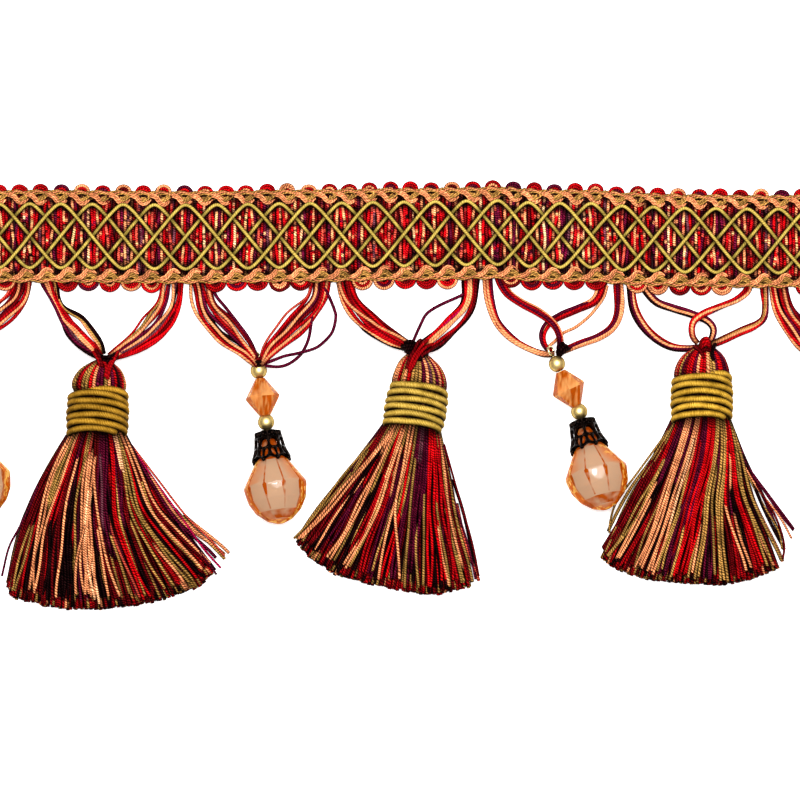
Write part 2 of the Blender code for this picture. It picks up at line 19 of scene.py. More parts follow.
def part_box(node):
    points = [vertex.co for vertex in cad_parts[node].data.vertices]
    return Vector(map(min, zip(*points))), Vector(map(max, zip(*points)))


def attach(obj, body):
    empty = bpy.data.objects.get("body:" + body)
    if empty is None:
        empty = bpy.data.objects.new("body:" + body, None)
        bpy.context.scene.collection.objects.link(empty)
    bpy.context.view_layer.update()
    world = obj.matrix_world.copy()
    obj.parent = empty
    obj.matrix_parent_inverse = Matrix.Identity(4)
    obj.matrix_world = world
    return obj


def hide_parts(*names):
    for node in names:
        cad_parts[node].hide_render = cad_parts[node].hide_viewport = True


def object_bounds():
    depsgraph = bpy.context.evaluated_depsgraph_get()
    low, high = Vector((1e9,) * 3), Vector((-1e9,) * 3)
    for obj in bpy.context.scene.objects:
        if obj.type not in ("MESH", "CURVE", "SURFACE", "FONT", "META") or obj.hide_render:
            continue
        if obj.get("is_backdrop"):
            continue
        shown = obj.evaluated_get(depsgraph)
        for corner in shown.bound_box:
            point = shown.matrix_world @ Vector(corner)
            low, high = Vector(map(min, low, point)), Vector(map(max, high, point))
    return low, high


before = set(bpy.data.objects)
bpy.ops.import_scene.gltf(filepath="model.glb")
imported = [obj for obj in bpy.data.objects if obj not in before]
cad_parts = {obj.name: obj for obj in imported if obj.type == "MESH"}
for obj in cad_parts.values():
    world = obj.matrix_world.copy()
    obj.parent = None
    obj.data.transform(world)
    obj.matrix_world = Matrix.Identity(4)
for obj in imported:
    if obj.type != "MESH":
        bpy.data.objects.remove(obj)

cad_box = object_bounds()
MM = 0.001
BODY = "root"


def measured(title, lengths):
    print(title, [round(v / MM, 2) for v in lengths], "mm")


measured(f"frame: {len(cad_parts)} nodes, box", (*cad_box[0], *cad_box[1]))

# %% [markdown]
# ## Shader maths
# A material is easier to read as an expression than as a web of nodes. This class wraps one socket.
# Arithmetic on it adds Math nodes, and its node method adds any other kind. A colour is given as red, green
# and blue.


# %% Shader maths
class Wire:
    """A node tree and one of its output sockets."""

    def __init__(self, tree, socket=None):
        self.tree = tree
        self.socket = socket

    def node(self, kind, settings=None, sockets=None, out=0):
        made = self.tree.nodes.new(kind)
        for name, value in (settings or {}).items():
            setattr(made, name, value)
        for name, value in (sockets or {}).items():
            socket = made.inputs[name]
            if isinstance(value, Wire):
                self.tree.links.new(socket, value.socket)
            else:
                socket.default_value = (*value, 1) if socket.type == "RGBA" else value
        return Wire(self.tree, made.outputs[out])

    def math(self, operation, *values):
        return self.node("ShaderNodeMath", {"operation": operation}, dict(enumerate(values)))

    __add__ = __radd__ = lambda self, other: self.math("ADD", self, other)
    __mul__ = __rmul__ = lambda self, other: self.math("MULTIPLY", self, other)
    __sub__ = lambda self, other: self.math("SUBTRACT", self, other)
    __rsub__ = lambda self, other: self.math("SUBTRACT", other, self)
    __pow__ = lambda self, other: self.math("POWER", self, other)

    def mixed(self, factor, first, second, way="MIX"):
        """Two colours, mixed by a number or by a value that varies."""
        settings = {"data_type": "RGBA", "blend_type": way}
        return self.node("ShaderNodeMix", settings, {0: factor, 6: first, 7: second}, out=2)

    def spot(self):
        """The place on the piece."""
        return self.node("ShaderNodeTexCoord", out="Object")

    def noise(self, scale, detail=2.0):
        sockets = {"Vector": self.spot(), "Scale": scale, "Detail": detail}
        return self.node("ShaderNodeTexNoise", {}, sockets, out="Fac")

    def attribute(self, name, out):
        return self.node("ShaderNodeAttribute", {"attribute_name": name}, out=out)

    def facing(self):
        """0 where the surface is seen face on, and 1 at its outline."""
        return self.node("ShaderNodeLayerWeight", {}, {"Blend": 0.5}, out="Facing")


def new_surface(name, constants):
    """A material with a Principled surface, and the wire that its nodes are made from."""
    made = bpy.data.materials.new(name)
    made.use_nodes = True
    surface = made.node_tree.nodes["Principled BSDF"]
    for socket, value in constants.items():
        surface.inputs[socket].default_value = value
    return made, surface, Wire(made.node_tree)


def drive(surface, socket, wire):
    """Feeds one of the surface's sockets."""
    surface.id_data.links.new(surface.inputs[socket], wire.socket)


def emboss(surface, height, depth):
    """Bump, with its depth in millimetres."""
    sockets = {"Height": height, "Distance": depth * MM}
    drive(surface, "Normal", height.node("ShaderNodeBump", {}, sockets))


# %% [markdown]
# ## Camera, floor and light
# The fringe lies flat and is seen from straight above. A long lens from far away keeps thick and thin pieces
# at one scale. A large soft light overhead gives metal and glass a broad highlight, a small lamp adds a sharp
# one, and a dim white surround leaves the gaps between yarns dark. The floor is a plain sheet a little below
# the cloth, so that the two never share a plane.

# %% Camera, floor and light
FIELD = 200 * MM  # the width that the view takes in
SENSOR = 36.0
LENS = 270.0
VIEW_CENTRE = Vector((0, -40.75, 3)) * MM
LIGHTS = (("softbox", 0.8, 15, (0.05, 0.25, 1.1)), ("lamp", 0.22, 5, (-0.04, 0.06, 1.2)))
LIT_PLACE = Vector((0, -40, 0)) * MM
WHITE = (1, 1, 1, 1)


def placed(name, data):
    """A new object in the scene."""
    made = bpy.data.objects.new(name, data)
    bpy.context.scene.collection.objects.link(made)
    return made


def deselect():
    """Leaves nothing selected, so that the next operator acts on its own new piece alone."""
    if bpy.context.object and bpy.context.object.mode != "OBJECT":
        bpy.ops.object.mode_set(mode="OBJECT")
    bpy.ops.object.select_all(action="DESELECT")


def settle():
    """Puts the active object's place, turn and size into its mesh."""
    bpy.ops.object.transform_apply(location=True, rotation=True, scale=True)


camera = placed("camera", bpy.data.cameras.new("camera"))
camera.data.sensor_width = SENSOR
camera.data.lens = LENS
camera.location = VIEW_CENTRE + Vector((0, 0, FIELD * LENS / SENSOR))
bpy.context.scene.camera = camera
bpy.context.scene.view_settings.view_transform = "Standard"
bpy.context.scene.view_settings.look = "Medium High Contrast"

deselect()
bpy.ops.mesh.primitive_plane_add(size=6, location=(0, 0, -0.2 * MM))
floor = bpy.context.object
floor.name = "floor"
floor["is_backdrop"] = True
paper, surface, start = new_surface("pale_floor", {
    "Base Color": (0.95, 0.95, 0.95, 1), "Roughness": 0.9, "Specular IOR Level": 0.1, "Emission Color": WHITE,
    "Emission Strength": 0.35})
floor.data.materials.append(paper)

for title, size, energy, place in LIGHTS:
    light = placed(title, bpy.data.lights.new(title, "AREA"))
    light.data.shape = "DISK"
    light.data.size = size
    light.data.energy = energy
    light.location = place
    light.rotation_euler = (LIT_PLACE - light.location).to_track_quat("-Z", "Y").to_euler()
    light.visible_camera = False

surround = bpy.data.worlds.new("surround")
bpy.context.scene.world = surround
surround.use_nodes = True
background = surround.node_tree.nodes["Background"]
background.inputs["Color"].default_value = WHITE
background.inputs["Strength"].default_value = 0.3
measured("camera height", [camera.location.z])

# %% [markdown]
# ## Yarns
# The yarn is a shiny two-ply twist. Its plies could be modelled one by one, but their thousands of turns
# would make a heavy mesh, so the material draws them. Two plies that wind round each other show as slanting
# ridges, and the ridge height is a cosine of the place round the strand and along it. The map named strand
# holds those two, and the colour of each strand is an attribute of the mesh. Fibres stray a little, which
# noise adds. Light and shade are painted into the colour too: shade in the grooves and down the sides of
# each strand, and a highlight on the crest of each ply.

# %% Yarn
PALETTE = {
    "crimson": (0.39, 0.002, 0.006),
    "scarlet": (0.55, 0.002, 0.006),
    "fuchsia": (0.46, 0.002, 0.075),
    "burgundy": (0.14, 0.001, 0.004),
    "plum": (0.105, 0.003, 0.024),
    "mauve": (0.13, 0.04, 0.055),
    "ink": (0.010, 0.001, 0.002),
    "peach": (0.86, 0.32, 0.14),
    "cream": (0.94, 0.47, 0.24),
    "rose": (0.55, 0.08, 0.05),
    "olive": (0.37, 0.205, 0.055),
    "tan": (0.45, 0.24, 0.065),
    "gold": (0.36, 0.265, 0.06),
    "old_gold": (0.385, 0.262, 0.044),
}


def shaded(colour, share):
    """A palette colour made lighter or darker."""
    return tuple(min(c * share, 1.0) for c in PALETTE[colour])


def yarn_material(name, lobe, groove, glint, edge=0.1, relief=0.1, round_off=2.0, flash=(1.9, 1.85, 1.9)):
    """A two-ply yarn whose ridges are lobe millimetres apart. Shade is painted into its colour: the groove
    and edge shares say how dark the grooves between the plies and the sides of the strand get, and round_off
    how soon the sides darken. A highlight is painted on the crest of each ply, and flash is its tint."""
    made, surface, start = new_surface(name, {"Specular IOR Level": 0.02, "Roughness": 0.6})
    tint = start.attribute("tint", "Color")
    place = start.node("ShaderNodeUVMap", {"uv_map": "strand"})
    around, along = (start.node("ShaderNodeSeparateXYZ", {}, {0: place}, out=axis) for axis in "XY")
    fibre, patch = start.noise(2800.0), start.noise(420.0, detail=1.0)
    ply = start.math("COSINE", (around * 2 - along * (1 / lobe) + patch * 2.2) * math.tau) * 0.5 + 0.5
    # painted shade: the sides of the strand and the grooves between the plies are made darker in its colour
    flank = start.math("ABSOLUTE", start.math("COSINE", around * math.tau)) ** round_off
    depth = (ply * (1 - groove) + groove) * (1 - flank * (1 - edge))
    painted_shade_and_mottle = depth * (fibre * 0.9 + 0.65) * (patch * 1.1 + 0.5)
    grey = start.node("ShaderNodeCombineColor", {}, {0: painted_shade_and_mottle, 1: painted_shade_and_mottle, 2: painted_shade_and_mottle})
    base = start.mixed(1.0, tint, grey, "MULTIPLY")
    # painted highlight: the crest of each ply takes a lighter tint
    lit = start.mixed(1.0, start.mixed(1.0, tint, flash, "MULTIPLY"), (0.03, 0.014, 0.012), "ADD")
    painted_highlight = (ply ** 3) * (1 - flank) * (fibre * 2 - 0.3) * (patch * 2.4 - 0.4) * glint
    drive(surface, "Base Color", start.mixed(painted_highlight, base, lit))
    emboss(surface, ply + fibre * 0.4, relief)
    return made


yarn = yarn_material("twisted_yarn", lobe=0.68, groove=0.2, glint=0.8, round_off=1.8)
loop_yarn = yarn_material("loop_yarn", lobe=0.75, groove=0.5, glint=0.5, edge=0.2, round_off=2.4)
weft_yarn = yarn_material("weft_yarn", lobe=0.5, groove=0.25, glint=1.35)
chain_yarn = yarn_material("chain_yarn", lobe=0.95, groove=0.45, glint=0.7)
gimp = yarn_material("gimp_cord", lobe=0.45, groove=0.8, glint=1.0, edge=0.16, relief=0.03, round_off=2.4)
binding_gimp = yarn_material("binding_gimp", lobe=0.3, groove=0.6, glint=1.8, edge=0.03, relief=0.03,
                             round_off=1.15, flash=(1.5, 1.78, 3.2))
print("yarns:", yarn.name, loop_yarn.name, weft_yarn.name, chain_yarn.name, gimp.name, binding_gimp.name)

# %% [markdown]
# ## Strands
# Cloth trim is hundreds of yarns. A bevelled curve for each would be slow to handle, so they are worked out
# as arrays. Each strand is a smooth curve through a few points, swept by a small ring, and a whole piece
# becomes one mesh. The second of its two maps lays the strands side by side in strips, so that the colours of
# one don't run into the next one's when they are baked.

# %% Strand maker
SIDES = 6
UP = (0, 0, 1)


class Strand(NamedTuple):
    """A yarn: points along it in millimetres, its radius, its colour or one for each point, and its up
    side."""

    points: np.ndarray
    radius: float
    tint: object
    up: object = UP

# %% Curves
def lengths_along(points):
    """The distance from the first point to each one."""
    return np.concatenate([[0], np.cumsum(np.linalg.norm(np.diff(points, axis=0), axis=1))])


def smooth(points, step):
    """Points about step millimetres apart on a Catmull-Rom curve through the given ones."""
    given = np.asarray(points, float)
    ends = np.vstack([2 * given[0] - given[1], given, 2 * given[-1] - given[-2]])
    made = []
    for a, b, c, d in zip(ends, ends[1:], ends[2:], ends[3:]):
        count = max(2, int(round(np.linalg.norm((c - b)[:3]) / step)))
        t = np.linspace(0, 1, count, endpoint=False)[:, None]
        made.append(0.5 * (2 * b + (c - a) * t + (2 * a - 5 * b + 4 * c - d) * t ** 2
                           + (3 * b - a - 3 * c + d) * t ** 3))
    return np.vstack([*made, given[-1:]])


def ring_frames(points, upward=UP):
    """For each point, a unit vector to the side of the path and one square to it, near the upward one."""
    ahead = np.gradient(points, axis=0)
    ahead /= np.linalg.norm(ahead, axis=1, keepdims=True)
    side = np.cross(ahead, np.asarray(upward, float))
    side /= np.maximum(np.linalg.norm(side, axis=1, keepdims=True), 1e-9)
    return side, np.cross(side, ahead)

# %% Sweep
def sweep(strand, sides):
    """A strand's corners, its faces, and each face corner's share round the ring and distance along."""
    points = np.asarray(strand.points, float)
    ring = np.arange(sides)
    after = (ring + 1) % sides
    angles = ring / sides * math.tau
    side, up = ring_frames(points, strand.up)
    radius = np.broadcast_to(np.asarray(strand.radius, float), len(points))[:, None, None]
    circle = side[:, None] * np.cos(angles)[:, None] + up[:, None] * np.sin(angles)[:, None]
    start = sides * np.arange(len(points) - 1)[:, None]
    walls = np.stack([start + ring, start + sides + ring, start + sides + after, start + after], -1)
    last = sides * (len(points) - 1)
    caps = [[(0, k, k + 1, k + 2), (last, last + k + 2, last + k + 1, last + k)]
            for k in range(1, sides - 1, 2)]
    along = lengths_along(points)
    lengthwise = np.repeat(np.stack([along[:-1], along[1:], along[1:], along[:-1]], -1)[:, None], sides, 1)
    around = np.broadcast_to(np.stack([ring, ring, ring + 1, ring + 1], -1) / sides, lengthwise.shape)
    ends = np.tile(np.repeat([[0.0], [along[-1]]], 4, 1), (len(caps), 1))
    charts = np.concatenate([np.stack([around, lengthwise], -1).reshape(-1, 4, 2),
                             np.stack([np.full_like(ends, 0.5), ends], -1)])
    faces = np.concatenate([walls.reshape(-1, 4), np.array(caps).reshape(-1, 4)])
    return (points[:, None] + circle * radius).reshape(-1, 3), faces, charts, max(along[-1], 1e-6)

# %% Pieces
def make_strands(name, strands, material, slot, *nodes, sides=SIDES):
    """Sweeps every strand into one mesh piece that rides on the cloth."""
    verts, faces, tints, strand_map, strips = [], [], [], [], []
    first = 0
    for number, strand in enumerate(strands):
        corners, quads, charts, length = sweep(strand, sides)
        verts.append(corners)
        faces.append(first + quads)
        first += len(corners)
        strand_map.append(charts * (1, 0.85 + number * 0.618 % 0.4) + (0, number * 0.377 % 1))
        strip = (number + 0.08 + 0.84 * charts[..., 0]) / len(strands)
        strips.append(np.stack([charts[..., 1] / length, strip], -1))
        tint = np.broadcast_to(np.asarray(strand.tint, float), (len(corners) // sides, 3))
        tints.append(np.repeat(tint, sides, axis=0))
    mesh = bpy.data.meshes.new(name)
    mesh.from_pydata(np.concatenate(verts) * MM, [], np.concatenate(faces))
    colours = np.hstack([np.concatenate(tints), np.ones((first, 1))])
    layer = mesh.attributes.new("tint", "FLOAT_COLOR", "POINT")
    layer.data.foreach_set("color", colours.astype(np.float32).ravel())
    for title, maps in (("strand", strand_map), ("OFBake", strips)):
        layer = mesh.uv_layers.new(name=title)
        layer.data.foreach_set("uv", np.concatenate(maps).astype(np.float32).ravel())
    mesh.shade_smooth()
    mesh.materials.append(material)
    piece = placed(name, mesh)
    finish_piece(piece, slot, *nodes)
    print(f"{name}: {len(strands)} strands, {2 * len(mesh.polygons)} triangles")
    return piece


def finish_piece(piece, slot, *nodes):
    """Every piece rides on the one body, and may stand for plain nodes. The slot is not used."""
    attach(piece, BODY)
    if nodes:
        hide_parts(*nodes)


# %% [markdown]
# ## Short tables
# Many yarns lie each in its own way, so their places are listed one by one. Written as text, with a comma
# between rows and a semicolon between strands, a table stays short enough to read. A yarn's colour is an
# initial.

# %% Short tables
INITIALS = {"c": "crimson", "s": "scarlet", "b": "burgundy", "v": "plum", "m": "mauve", "k": "ink",
            "p": "peach", "w": "cream", "r": "rose", "o": "olive", "t": "tan", "f": "fuchsia"}

draw = random.Random(7)  # the random choices below come from this one seeded source


def pick(weighted):
    """One name, drawn by its weight."""
    names, weights = zip(*weighted)
    return draw.choices(names, weights)[0]


def places(text):
    """Rows of numbers."""
    return [[float(word) for word in row.split()] for row in text.split(",")]


def routes(text):
    """Strands: a colour's initial, then the places that it takes."""
    ways = [way.split(maxsplit=1) for way in text.split(";")]
    return [(INITIALS[initial], places(way)) for initial, way in ways]


def hundredths(words):
    return [int(word) / 100 for word in words]


print("table colours:", len(INITIALS))

# %% [markdown]
# ## The heading's cloth
# The heading is a narrow woven ground about 1 mm thick, which lies flat. It runs a little crooked, as cut
# trim does. The ground could be woven thread by thread, but almost all of it is covered, so a grid with some
# thickness is enough. Where the lattice runs is worked out first, because the weft has to know it.

# %% Where the heading runs
HEADING_LENGTH = 260.0
CENTRE_LINE = places("-130 0.2, -92 0.3, -54 0, -22 0.4, 0 0.75, 25 1.1, 36 0.45, 48 0.4, 58 -0.35, 72 -0.8, "
                     "90 -1, 130 -0.9")
COLUMN_PITCH = 7.8
FIRST_COLUMN_X = 1.0
LATTICE_PEAK = 8.0
LATTICE_BEND = 0.22  # how round the turns are, in columns
SLOPE = 0.65  # a cord is this share as far off as it is along Y


def ease(share):
    """From 0 to 1, slow at both ends."""
    return share * share * (3 - 2 * share)


def centre_y(x):
    """How far the heading's middle strays from straight."""
    xs, offsets = zip(*CENTRE_LINE)
    k = int(np.clip(np.searchsorted(xs, x) - 1, 0, len(xs) - 2))
    share = float(np.clip((x - xs[k]) / (xs[k + 1] - xs[k]), 0, 1))
    return offsets[k] + (offsets[k + 1] - offsets[k]) * ease(share)


def lattice_y(column):
    """A cord's height on the face, at a number of columns past its peak: round turns and straight slopes."""
    past = abs((column + 2) % 4 - 2)
    to_turn = min(past, 2 - past)
    steepness = LATTICE_PEAK / (math.hypot(1, LATTICE_BEND) - LATTICE_BEND)
    height = LATTICE_PEAK - steepness * (math.hypot(to_turn, LATTICE_BEND) - LATTICE_BEND)
    return math.copysign(height, 1 - past)


def to_cord(x, y):
    """The distance from a place on the face to the nearest cord of the lattice."""
    column = (x - FIRST_COLUMN_X) / COLUMN_PITCH
    return min(abs(y - lattice_y(column - phase)) for phase in range(4)) * SLOPE


print("lattice: cords", COLUMN_PITCH * 4, "mm from peak to peak")

# %% Ground cloth
GROUND_LOW, GROUND_HIGH = -10.6, 11.0
GROUND_THICKNESS = 1.0

deselect()
bpy.ops.mesh.primitive_grid_add(x_subdivisions=130, y_subdivisions=2, size=1)
ground = bpy.context.object
ground.name = "heading_cloth"
bpy.ops.transform.resize(value=(HEADING_LENGTH * MM, (GROUND_HIGH - GROUND_LOW) * MM, 1))
bpy.ops.transform.translate(value=(0, (GROUND_HIGH + GROUND_LOW) / 2 * MM, GROUND_THICKNESS * MM))
settle()
for vertex in ground.data.vertices:
    vertex.co.y += centre_y(vertex.co.x / MM) * MM
thickness = ground.modifiers.new("thickness", "SOLIDIFY")
thickness.thickness = GROUND_THICKNESS * MM
thickness.offset = -1
bpy.ops.object.modifier_apply(modifier=thickness.name)

# the cloth is its own dark yarn and also painted shade: near black, it stands for the shade in the gaps
# between the yarns on top
ground_cloth, surface, start = new_surface("ground_cloth", {"Roughness": 0.8})
weave = start.node("ShaderNodeTexWave", {"bands_direction": "X"},
                   {"Vector": start.spot(), "Scale": 500.0, "Distortion": 2.0}, out="Fac")
drive(surface, "Base Color", start.mixed(weave, shaded("burgundy", 0.7), PALETTE["ink"]))
emboss(surface, weave, 0.2)
ground.data.materials.append(ground_cloth)
finish_piece(ground, "ground_yarn", "heading_ground")
measured("ground", ground.dimensions)

# %% [markdown]
# ## Weft
# The face of the heading is its weft: upright shiny yarns, packed close. They swell in the windows of the
# lattice and are pressed flat under its cords. Painted stripes would look flat from the side, so every yarn
# is a strand of its own, and its height follows the distance to the nearest cord. Its colour darkens towards
# the cord and towards the braids at both edges, as painted shade. Dark yarns come in runs with a light one
# between, and now and then the other ply shows as a fleck.

# %% Weft yarns
WEFT_PITCH = 0.76
WEFT_RADIUS = 0.47
WEFT_LOW, WEFT_HIGH = -9.6, 10.2
WEFT_COLOURS = (("crimson", 8), ("scarlet", 3), ("burgundy", 3), ("plum", 4), ("mauve", 1))
WEFT_LIGHTS = (("peach", 7), ("cream", 1), ("rose", 2))
WEFT_FLECKS = ("peach", "rose", "ink", "plum", "crimson", "ink")  # where a ply of another colour turns up
FLECK_SHARE = 0.18


def weft_strands():
    made = []
    flecks = random.Random(3)
    colour, since = "crimson", 0  # how many dark yarns have passed since the last light one
    for k in range(round(HEADING_LENGTH / WEFT_PITCH)):
        x = -HEADING_LENGTH / 2 + (k + 0.5) * WEFT_PITCH
        since = 0 if colour in dict(WEFT_LIGHTS) else since + 1
        light = since > 2 or (since > 0 and draw.random() < 0.42)
        colour = pick(WEFT_LIGHTS if light else WEFT_COLOURS)
        lift = draw.uniform(-0.18, 0.22)
        drift = draw.uniform(-0.35, 0.35)
        share = draw.uniform(1.05, 1.6)
        points, tints = [], []
        for y in np.arange(WEFT_LOW, WEFT_HIGH + 0.4, 0.57):
            away = to_cord(x, y)
            swell = 1 - math.exp(-(away / 1.1) ** 2)
            sway = drift * math.sin((y + k) * 0.5) + draw.uniform(-0.06, 0.06)
            points.append((x + sway, y + centre_y(x), 1.0 + lift + 0.95 * swell))
            # painted shade: a yarn darkens towards the nearest cord and towards the braids at the edges
            clear = min(max((away - 0.55) / 1.1, 0), 1) * min(max((9.0 - abs(y)) / 1.2, 0.05), 1)
            ply = flecks.choice(WEFT_FLECKS) if flecks.random() < FLECK_SHARE else colour
            tints.append(shaded(ply, share * (0.03 + 0.97 * clear ** 1.2) * draw.uniform(0.55, 1.4)))
        made.append(Strand(np.array(points), WEFT_RADIUS, np.array(tints)))
    return made


weft = make_strands("heading_weft", weft_strands(), weft_yarn, "ground_yarn")

# %% [markdown]
# ## Where the loops hang
# The weft yarns leave the lower edge in bundles, which hang as loops. Drawing every thread by hand would take
# long, so only the bundles are drawn. A leg is a bundle: its middle and its width at a few places on the way
# down, then its threads by colour. A thread keeps to a share of the bundle's width, from -1 at the left to 1
# at the right, at the top, half way down and at the end. Shares that nothing takes are open gaps.

# %% Legs of the loops
LOOP_START = -11.5
UNDER_BRAID = 2.6  # how far above its foot a leg's yarns start
WIDE_LOOP_FALL = 18.4


class Thread(NamedTuple):
    """A thread of a leg: its colour, its share of the width at three places, its lift and its radius."""

    colour: str
    top: float
    middle: float
    end: float
    lift: float = 0.0
    radius: float = 0.45


class Leg(NamedTuple):
    """A bundle's rows of (x, y, width), how high it starts and ends, and its threads."""

    rows: list
    rise: tuple
    threads: list


def bundle(rows, rise, threads):
    """A leg. Each row of threads has a colour's initial and then a Thread's other columns, in hundredths."""
    threads = [row.split() for row in threads.split(",")]
    return Leg(places(rows), rise, [Thread(INITIALS[row[0]], *hundredths(row[1:])) for row in threads])

# %% Legs, loop by loop
WIDE_BEAD_LOOP = (
    bundle("-49.8 -11.5 6.2, -47.9 -17.8 7.2, -43 -23.6 7.8, -38.4 -28.4 5, -35.4 -32.4 1.7", (1, 4.2),
        """p -100 -100 -80, c -72 -78 -50 30, b -60 -60 -30 -50, p -40 -50 -10 30, k -20 -30 10 -30,
        v 0 -10 20 -10, c 22 10 30 20, r 40 30 40 -20, p 56 42 50 40, b 75 72 80 0, v 95 100 100 0 42"""),
    bundle("-20 -11.5 5.4, -21.2 -15.8 6, -26.6 -21.8 6.8, -32.2 -27.6 4.4, -35 -32.2 1.7", (1, 4.2),
        """r -95 -95 -90 0 32, c -80 -60 -60, b -50 -35 -40 -40, p -25 -15 0 40, v -5 10 20 -20,
        b 20 25 20 20, c 50 45 40 30, p 75 70 70 20, c 95 95 90"""),
)
CROSSED_BEAD_LOOP = (
    bundle("""21.9 -11.5 2.2, 22.5 -15.8 2.1, 24.1 -20.8 2, 27.2 -24.6 2, 31 -27.3 1.9,
        35.2 -29.1 1.7, 38.6 -29.3 1.4""", (0.9, 3.6),
        "p -100 -90 -20 30, c -50 -55 20 20, p -10 -20 70 40, c 40 30 90 10, v 95 80 -60 0, k 70 60 -90 -20"),
    bundle("""54.7 -11.5 2.3, 54.8 -18.2 2.2, 53.3 -22.3 2, 50 -24.8 1.9, 45 -26.7 1.8,
        40.4 -28.6 1.5""", (0.9, 3.6),
        "c -90 -90 -70 10, v -30 -50 -30 40, b 10 0 10 20, p 40 45 40 30, p 90 90 80 10"),
    bundle("""50.7 -11.5 2.3, 48.8 -15.6 2.1, 44.4 -17.9 2, 40.6 -19.5 2, 37.2 -21.7 1.9,
        35.8 -24.4 1.8, 36.4 -27.2 1.5, 38.4 -28.9 1.2""", (0.9, 2.6),
        "p -90 -50 60 10, v -35 -90 -90 20, c 10 20 30 20, s 50 60 20 30, b 90 90 -30 30"),
    bundle("""25 -11.5 2.2, 26.9 -14 2.1, 30.3 -16.5 2, 34.4 -18.7 1.9, 37.6 -21 1.9,
        39.4 -23.4 1.8, 40 -26.2 1.6, 39.4 -28.7 1.2""", (1.2, 5.2),
        "c -90 -80 -70 0, v -20 -20 -20 40, c 50 40 50 20, p 95 95 90 10 25"),
)
TASSEL_LOOP_1 = (
    bundle("-87.8 -11.5 4.4, -85.2 -17.6 2.9, -80.5 -23 7.2, -76.6 -27 5.4, -74.2 -30.2 2.4", (1, 6.6),
        """v -100 -75 -80 50, p -55 -40 -50 40, m -30 -55 -60 0, p -20 -22 -20 20, c 10 -10 0 30,
        b 35 -90 -90 -10, k 60 -100 -100 0, c 85 8 20 20, p 50 62 50 10 35, o 70 75 60 30 35,
        k 100 88 80 20, k 90 100 100 0"""),
    bundle("-56.9 -11.5 5.8, -57.9 -17.2 6.6, -61.9 -23 7, -68.2 -27.8 4.8, -72.4 -30.2 2.6", (1, 6.6),
        """c -100 -100 -90 0 30, o -90 -80 -70 -20, p -75 -60 -50 20, c -50 -45 -30 -20, v -35 -20 -10 10,
        p 12 10 20 40, m 34 30 20 20, c 60 50 50 30, c 80 98 90 0, b 70 70 70 -20, k 40 42 40 -30,
        s 97 85 80 10"""),
)
TASSEL_LOOP_2 = (
    bundle("-13.9 -11.5 4.4, -12.4 -15.8 4.8, -8.2 -21 5.2, -2.4 -25.2 4.6, 3 -27.6 2.4", (1, 6.6),
        """p -100 -90 -70 10, c -75 -60 -50 30, k -50 -100 -90 -10, p -85 35 80 70, c -30 -25 -20 20,
        k -10 0 20 0, b 10 -5 10 30, c 35 20 20 40, b 55 50 50 0, s 75 70 60 30, b 97 97 90 0 40"""),
    bundle("17.5 -11.5 4.8, 16.6 -17 4.8, 12.4 -21.8 5.8, 8 -26 5, 3.2 -28.4 2.6", (1, 6.6),
        """k -75 -55 -60 0, s -55 -50 -50 30, f -35 -30 -40 10, p -10 -15 -10 40, p 12 10 10 30,
        c 60 65 50 30, b 80 85 70 40, k 97 100 95 0"""),
)
TASSEL_LOOP_3 = (
    bundle("""57.7 -11.5 2, 58.5 -17.6 2.1, 60.7 -22 2.1, 63.8 -25.3 2, 67.6 -27.4 1.9,
        71.6 -27.9 1.7, 74.8 -27.6 1.4""", (0.9, 6.4),
        "k -90 -90 -80 0, v -20 -40 -20 30, p 40 20 30 30, c 95 90 90 0 30"),
    bundle("91.1 -12.2 2, 91.1 -19.4 2, 89.3 -21.8 2, 85 -23.7 1.9, 80.8 -25.6 1.8, 77 -27.2 1.4", (0.9, 6.4),
        "c -80 90 100 10, b -20 -90 -90 10, t 10 -40 -60 40 35, p 45 -10 -10 30, v 90 60 70 0 35"),
    bundle("""60.7 -11.5 2.1, 63.8 -16 2, 68.2 -17.9 2, 72.6 -19.2 1.9, 76.6 -20.8 1.8,
        78.3 -22.9 1.7, 77.8 -25.4 1.5, 76.4 -27.2 1.2""", (0.9, 3.4),
        "k -70 -70 -70 10, p 0 -10 0 40, v 90 90 90 0"),
    bundle("""87.1 -12.2 2.1, 84.4 -15.6 2, 80 -17.4 1.9, 75.6 -19.2 1.8, 73.1 -21.4 1.7,
        73 -24.8 1.5, 74.8 -27.2 1.2""", (1.2, 5.4),
        "c -80 -60 -70 10, p 50 20 0 40, c 0 85 80 10, v -40 90 90 0 35"),
)

# %% Seven loops
class Loop(NamedTuple):
    """A loop's legs, and how it differs from the table: moved along, knot swayed, fall and widths scaled."""

    legs: tuple
    shift: float = 0.0
    sway: float = 0.0
    reach: float = 1.0
    spread: float = 1.0


LOOPS = (
    Loop(WIDE_BEAD_LOOP, shift=-74.6, sway=-1.8, reach=0.93),
    Loop(TASSEL_LOOP_1),
    Loop(WIDE_BEAD_LOOP),
    Loop(TASSEL_LOOP_2),
    Loop(CROSSED_BEAD_LOOP, spread=1.2),
    Loop(TASSEL_LOOP_3, spread=1.2),
    Loop(WIDE_BEAD_LOOP, shift=144.4, reach=1.15, spread=0.8),
)


def placed_rows(loop, leg):
    """A leg's rows where its loop hangs."""
    rows = []
    for x, y, width in leg.rows:
        fall = LOOP_START - y
        x += loop.shift + loop.sway * fall / WIDE_LOOP_FALL
        rows.append((x, LOOP_START - fall * loop.reach, width * loop.spread))
    x, y, width = rows[0]
    rows[0] = (x, y + centre_y(x), width)
    return rows

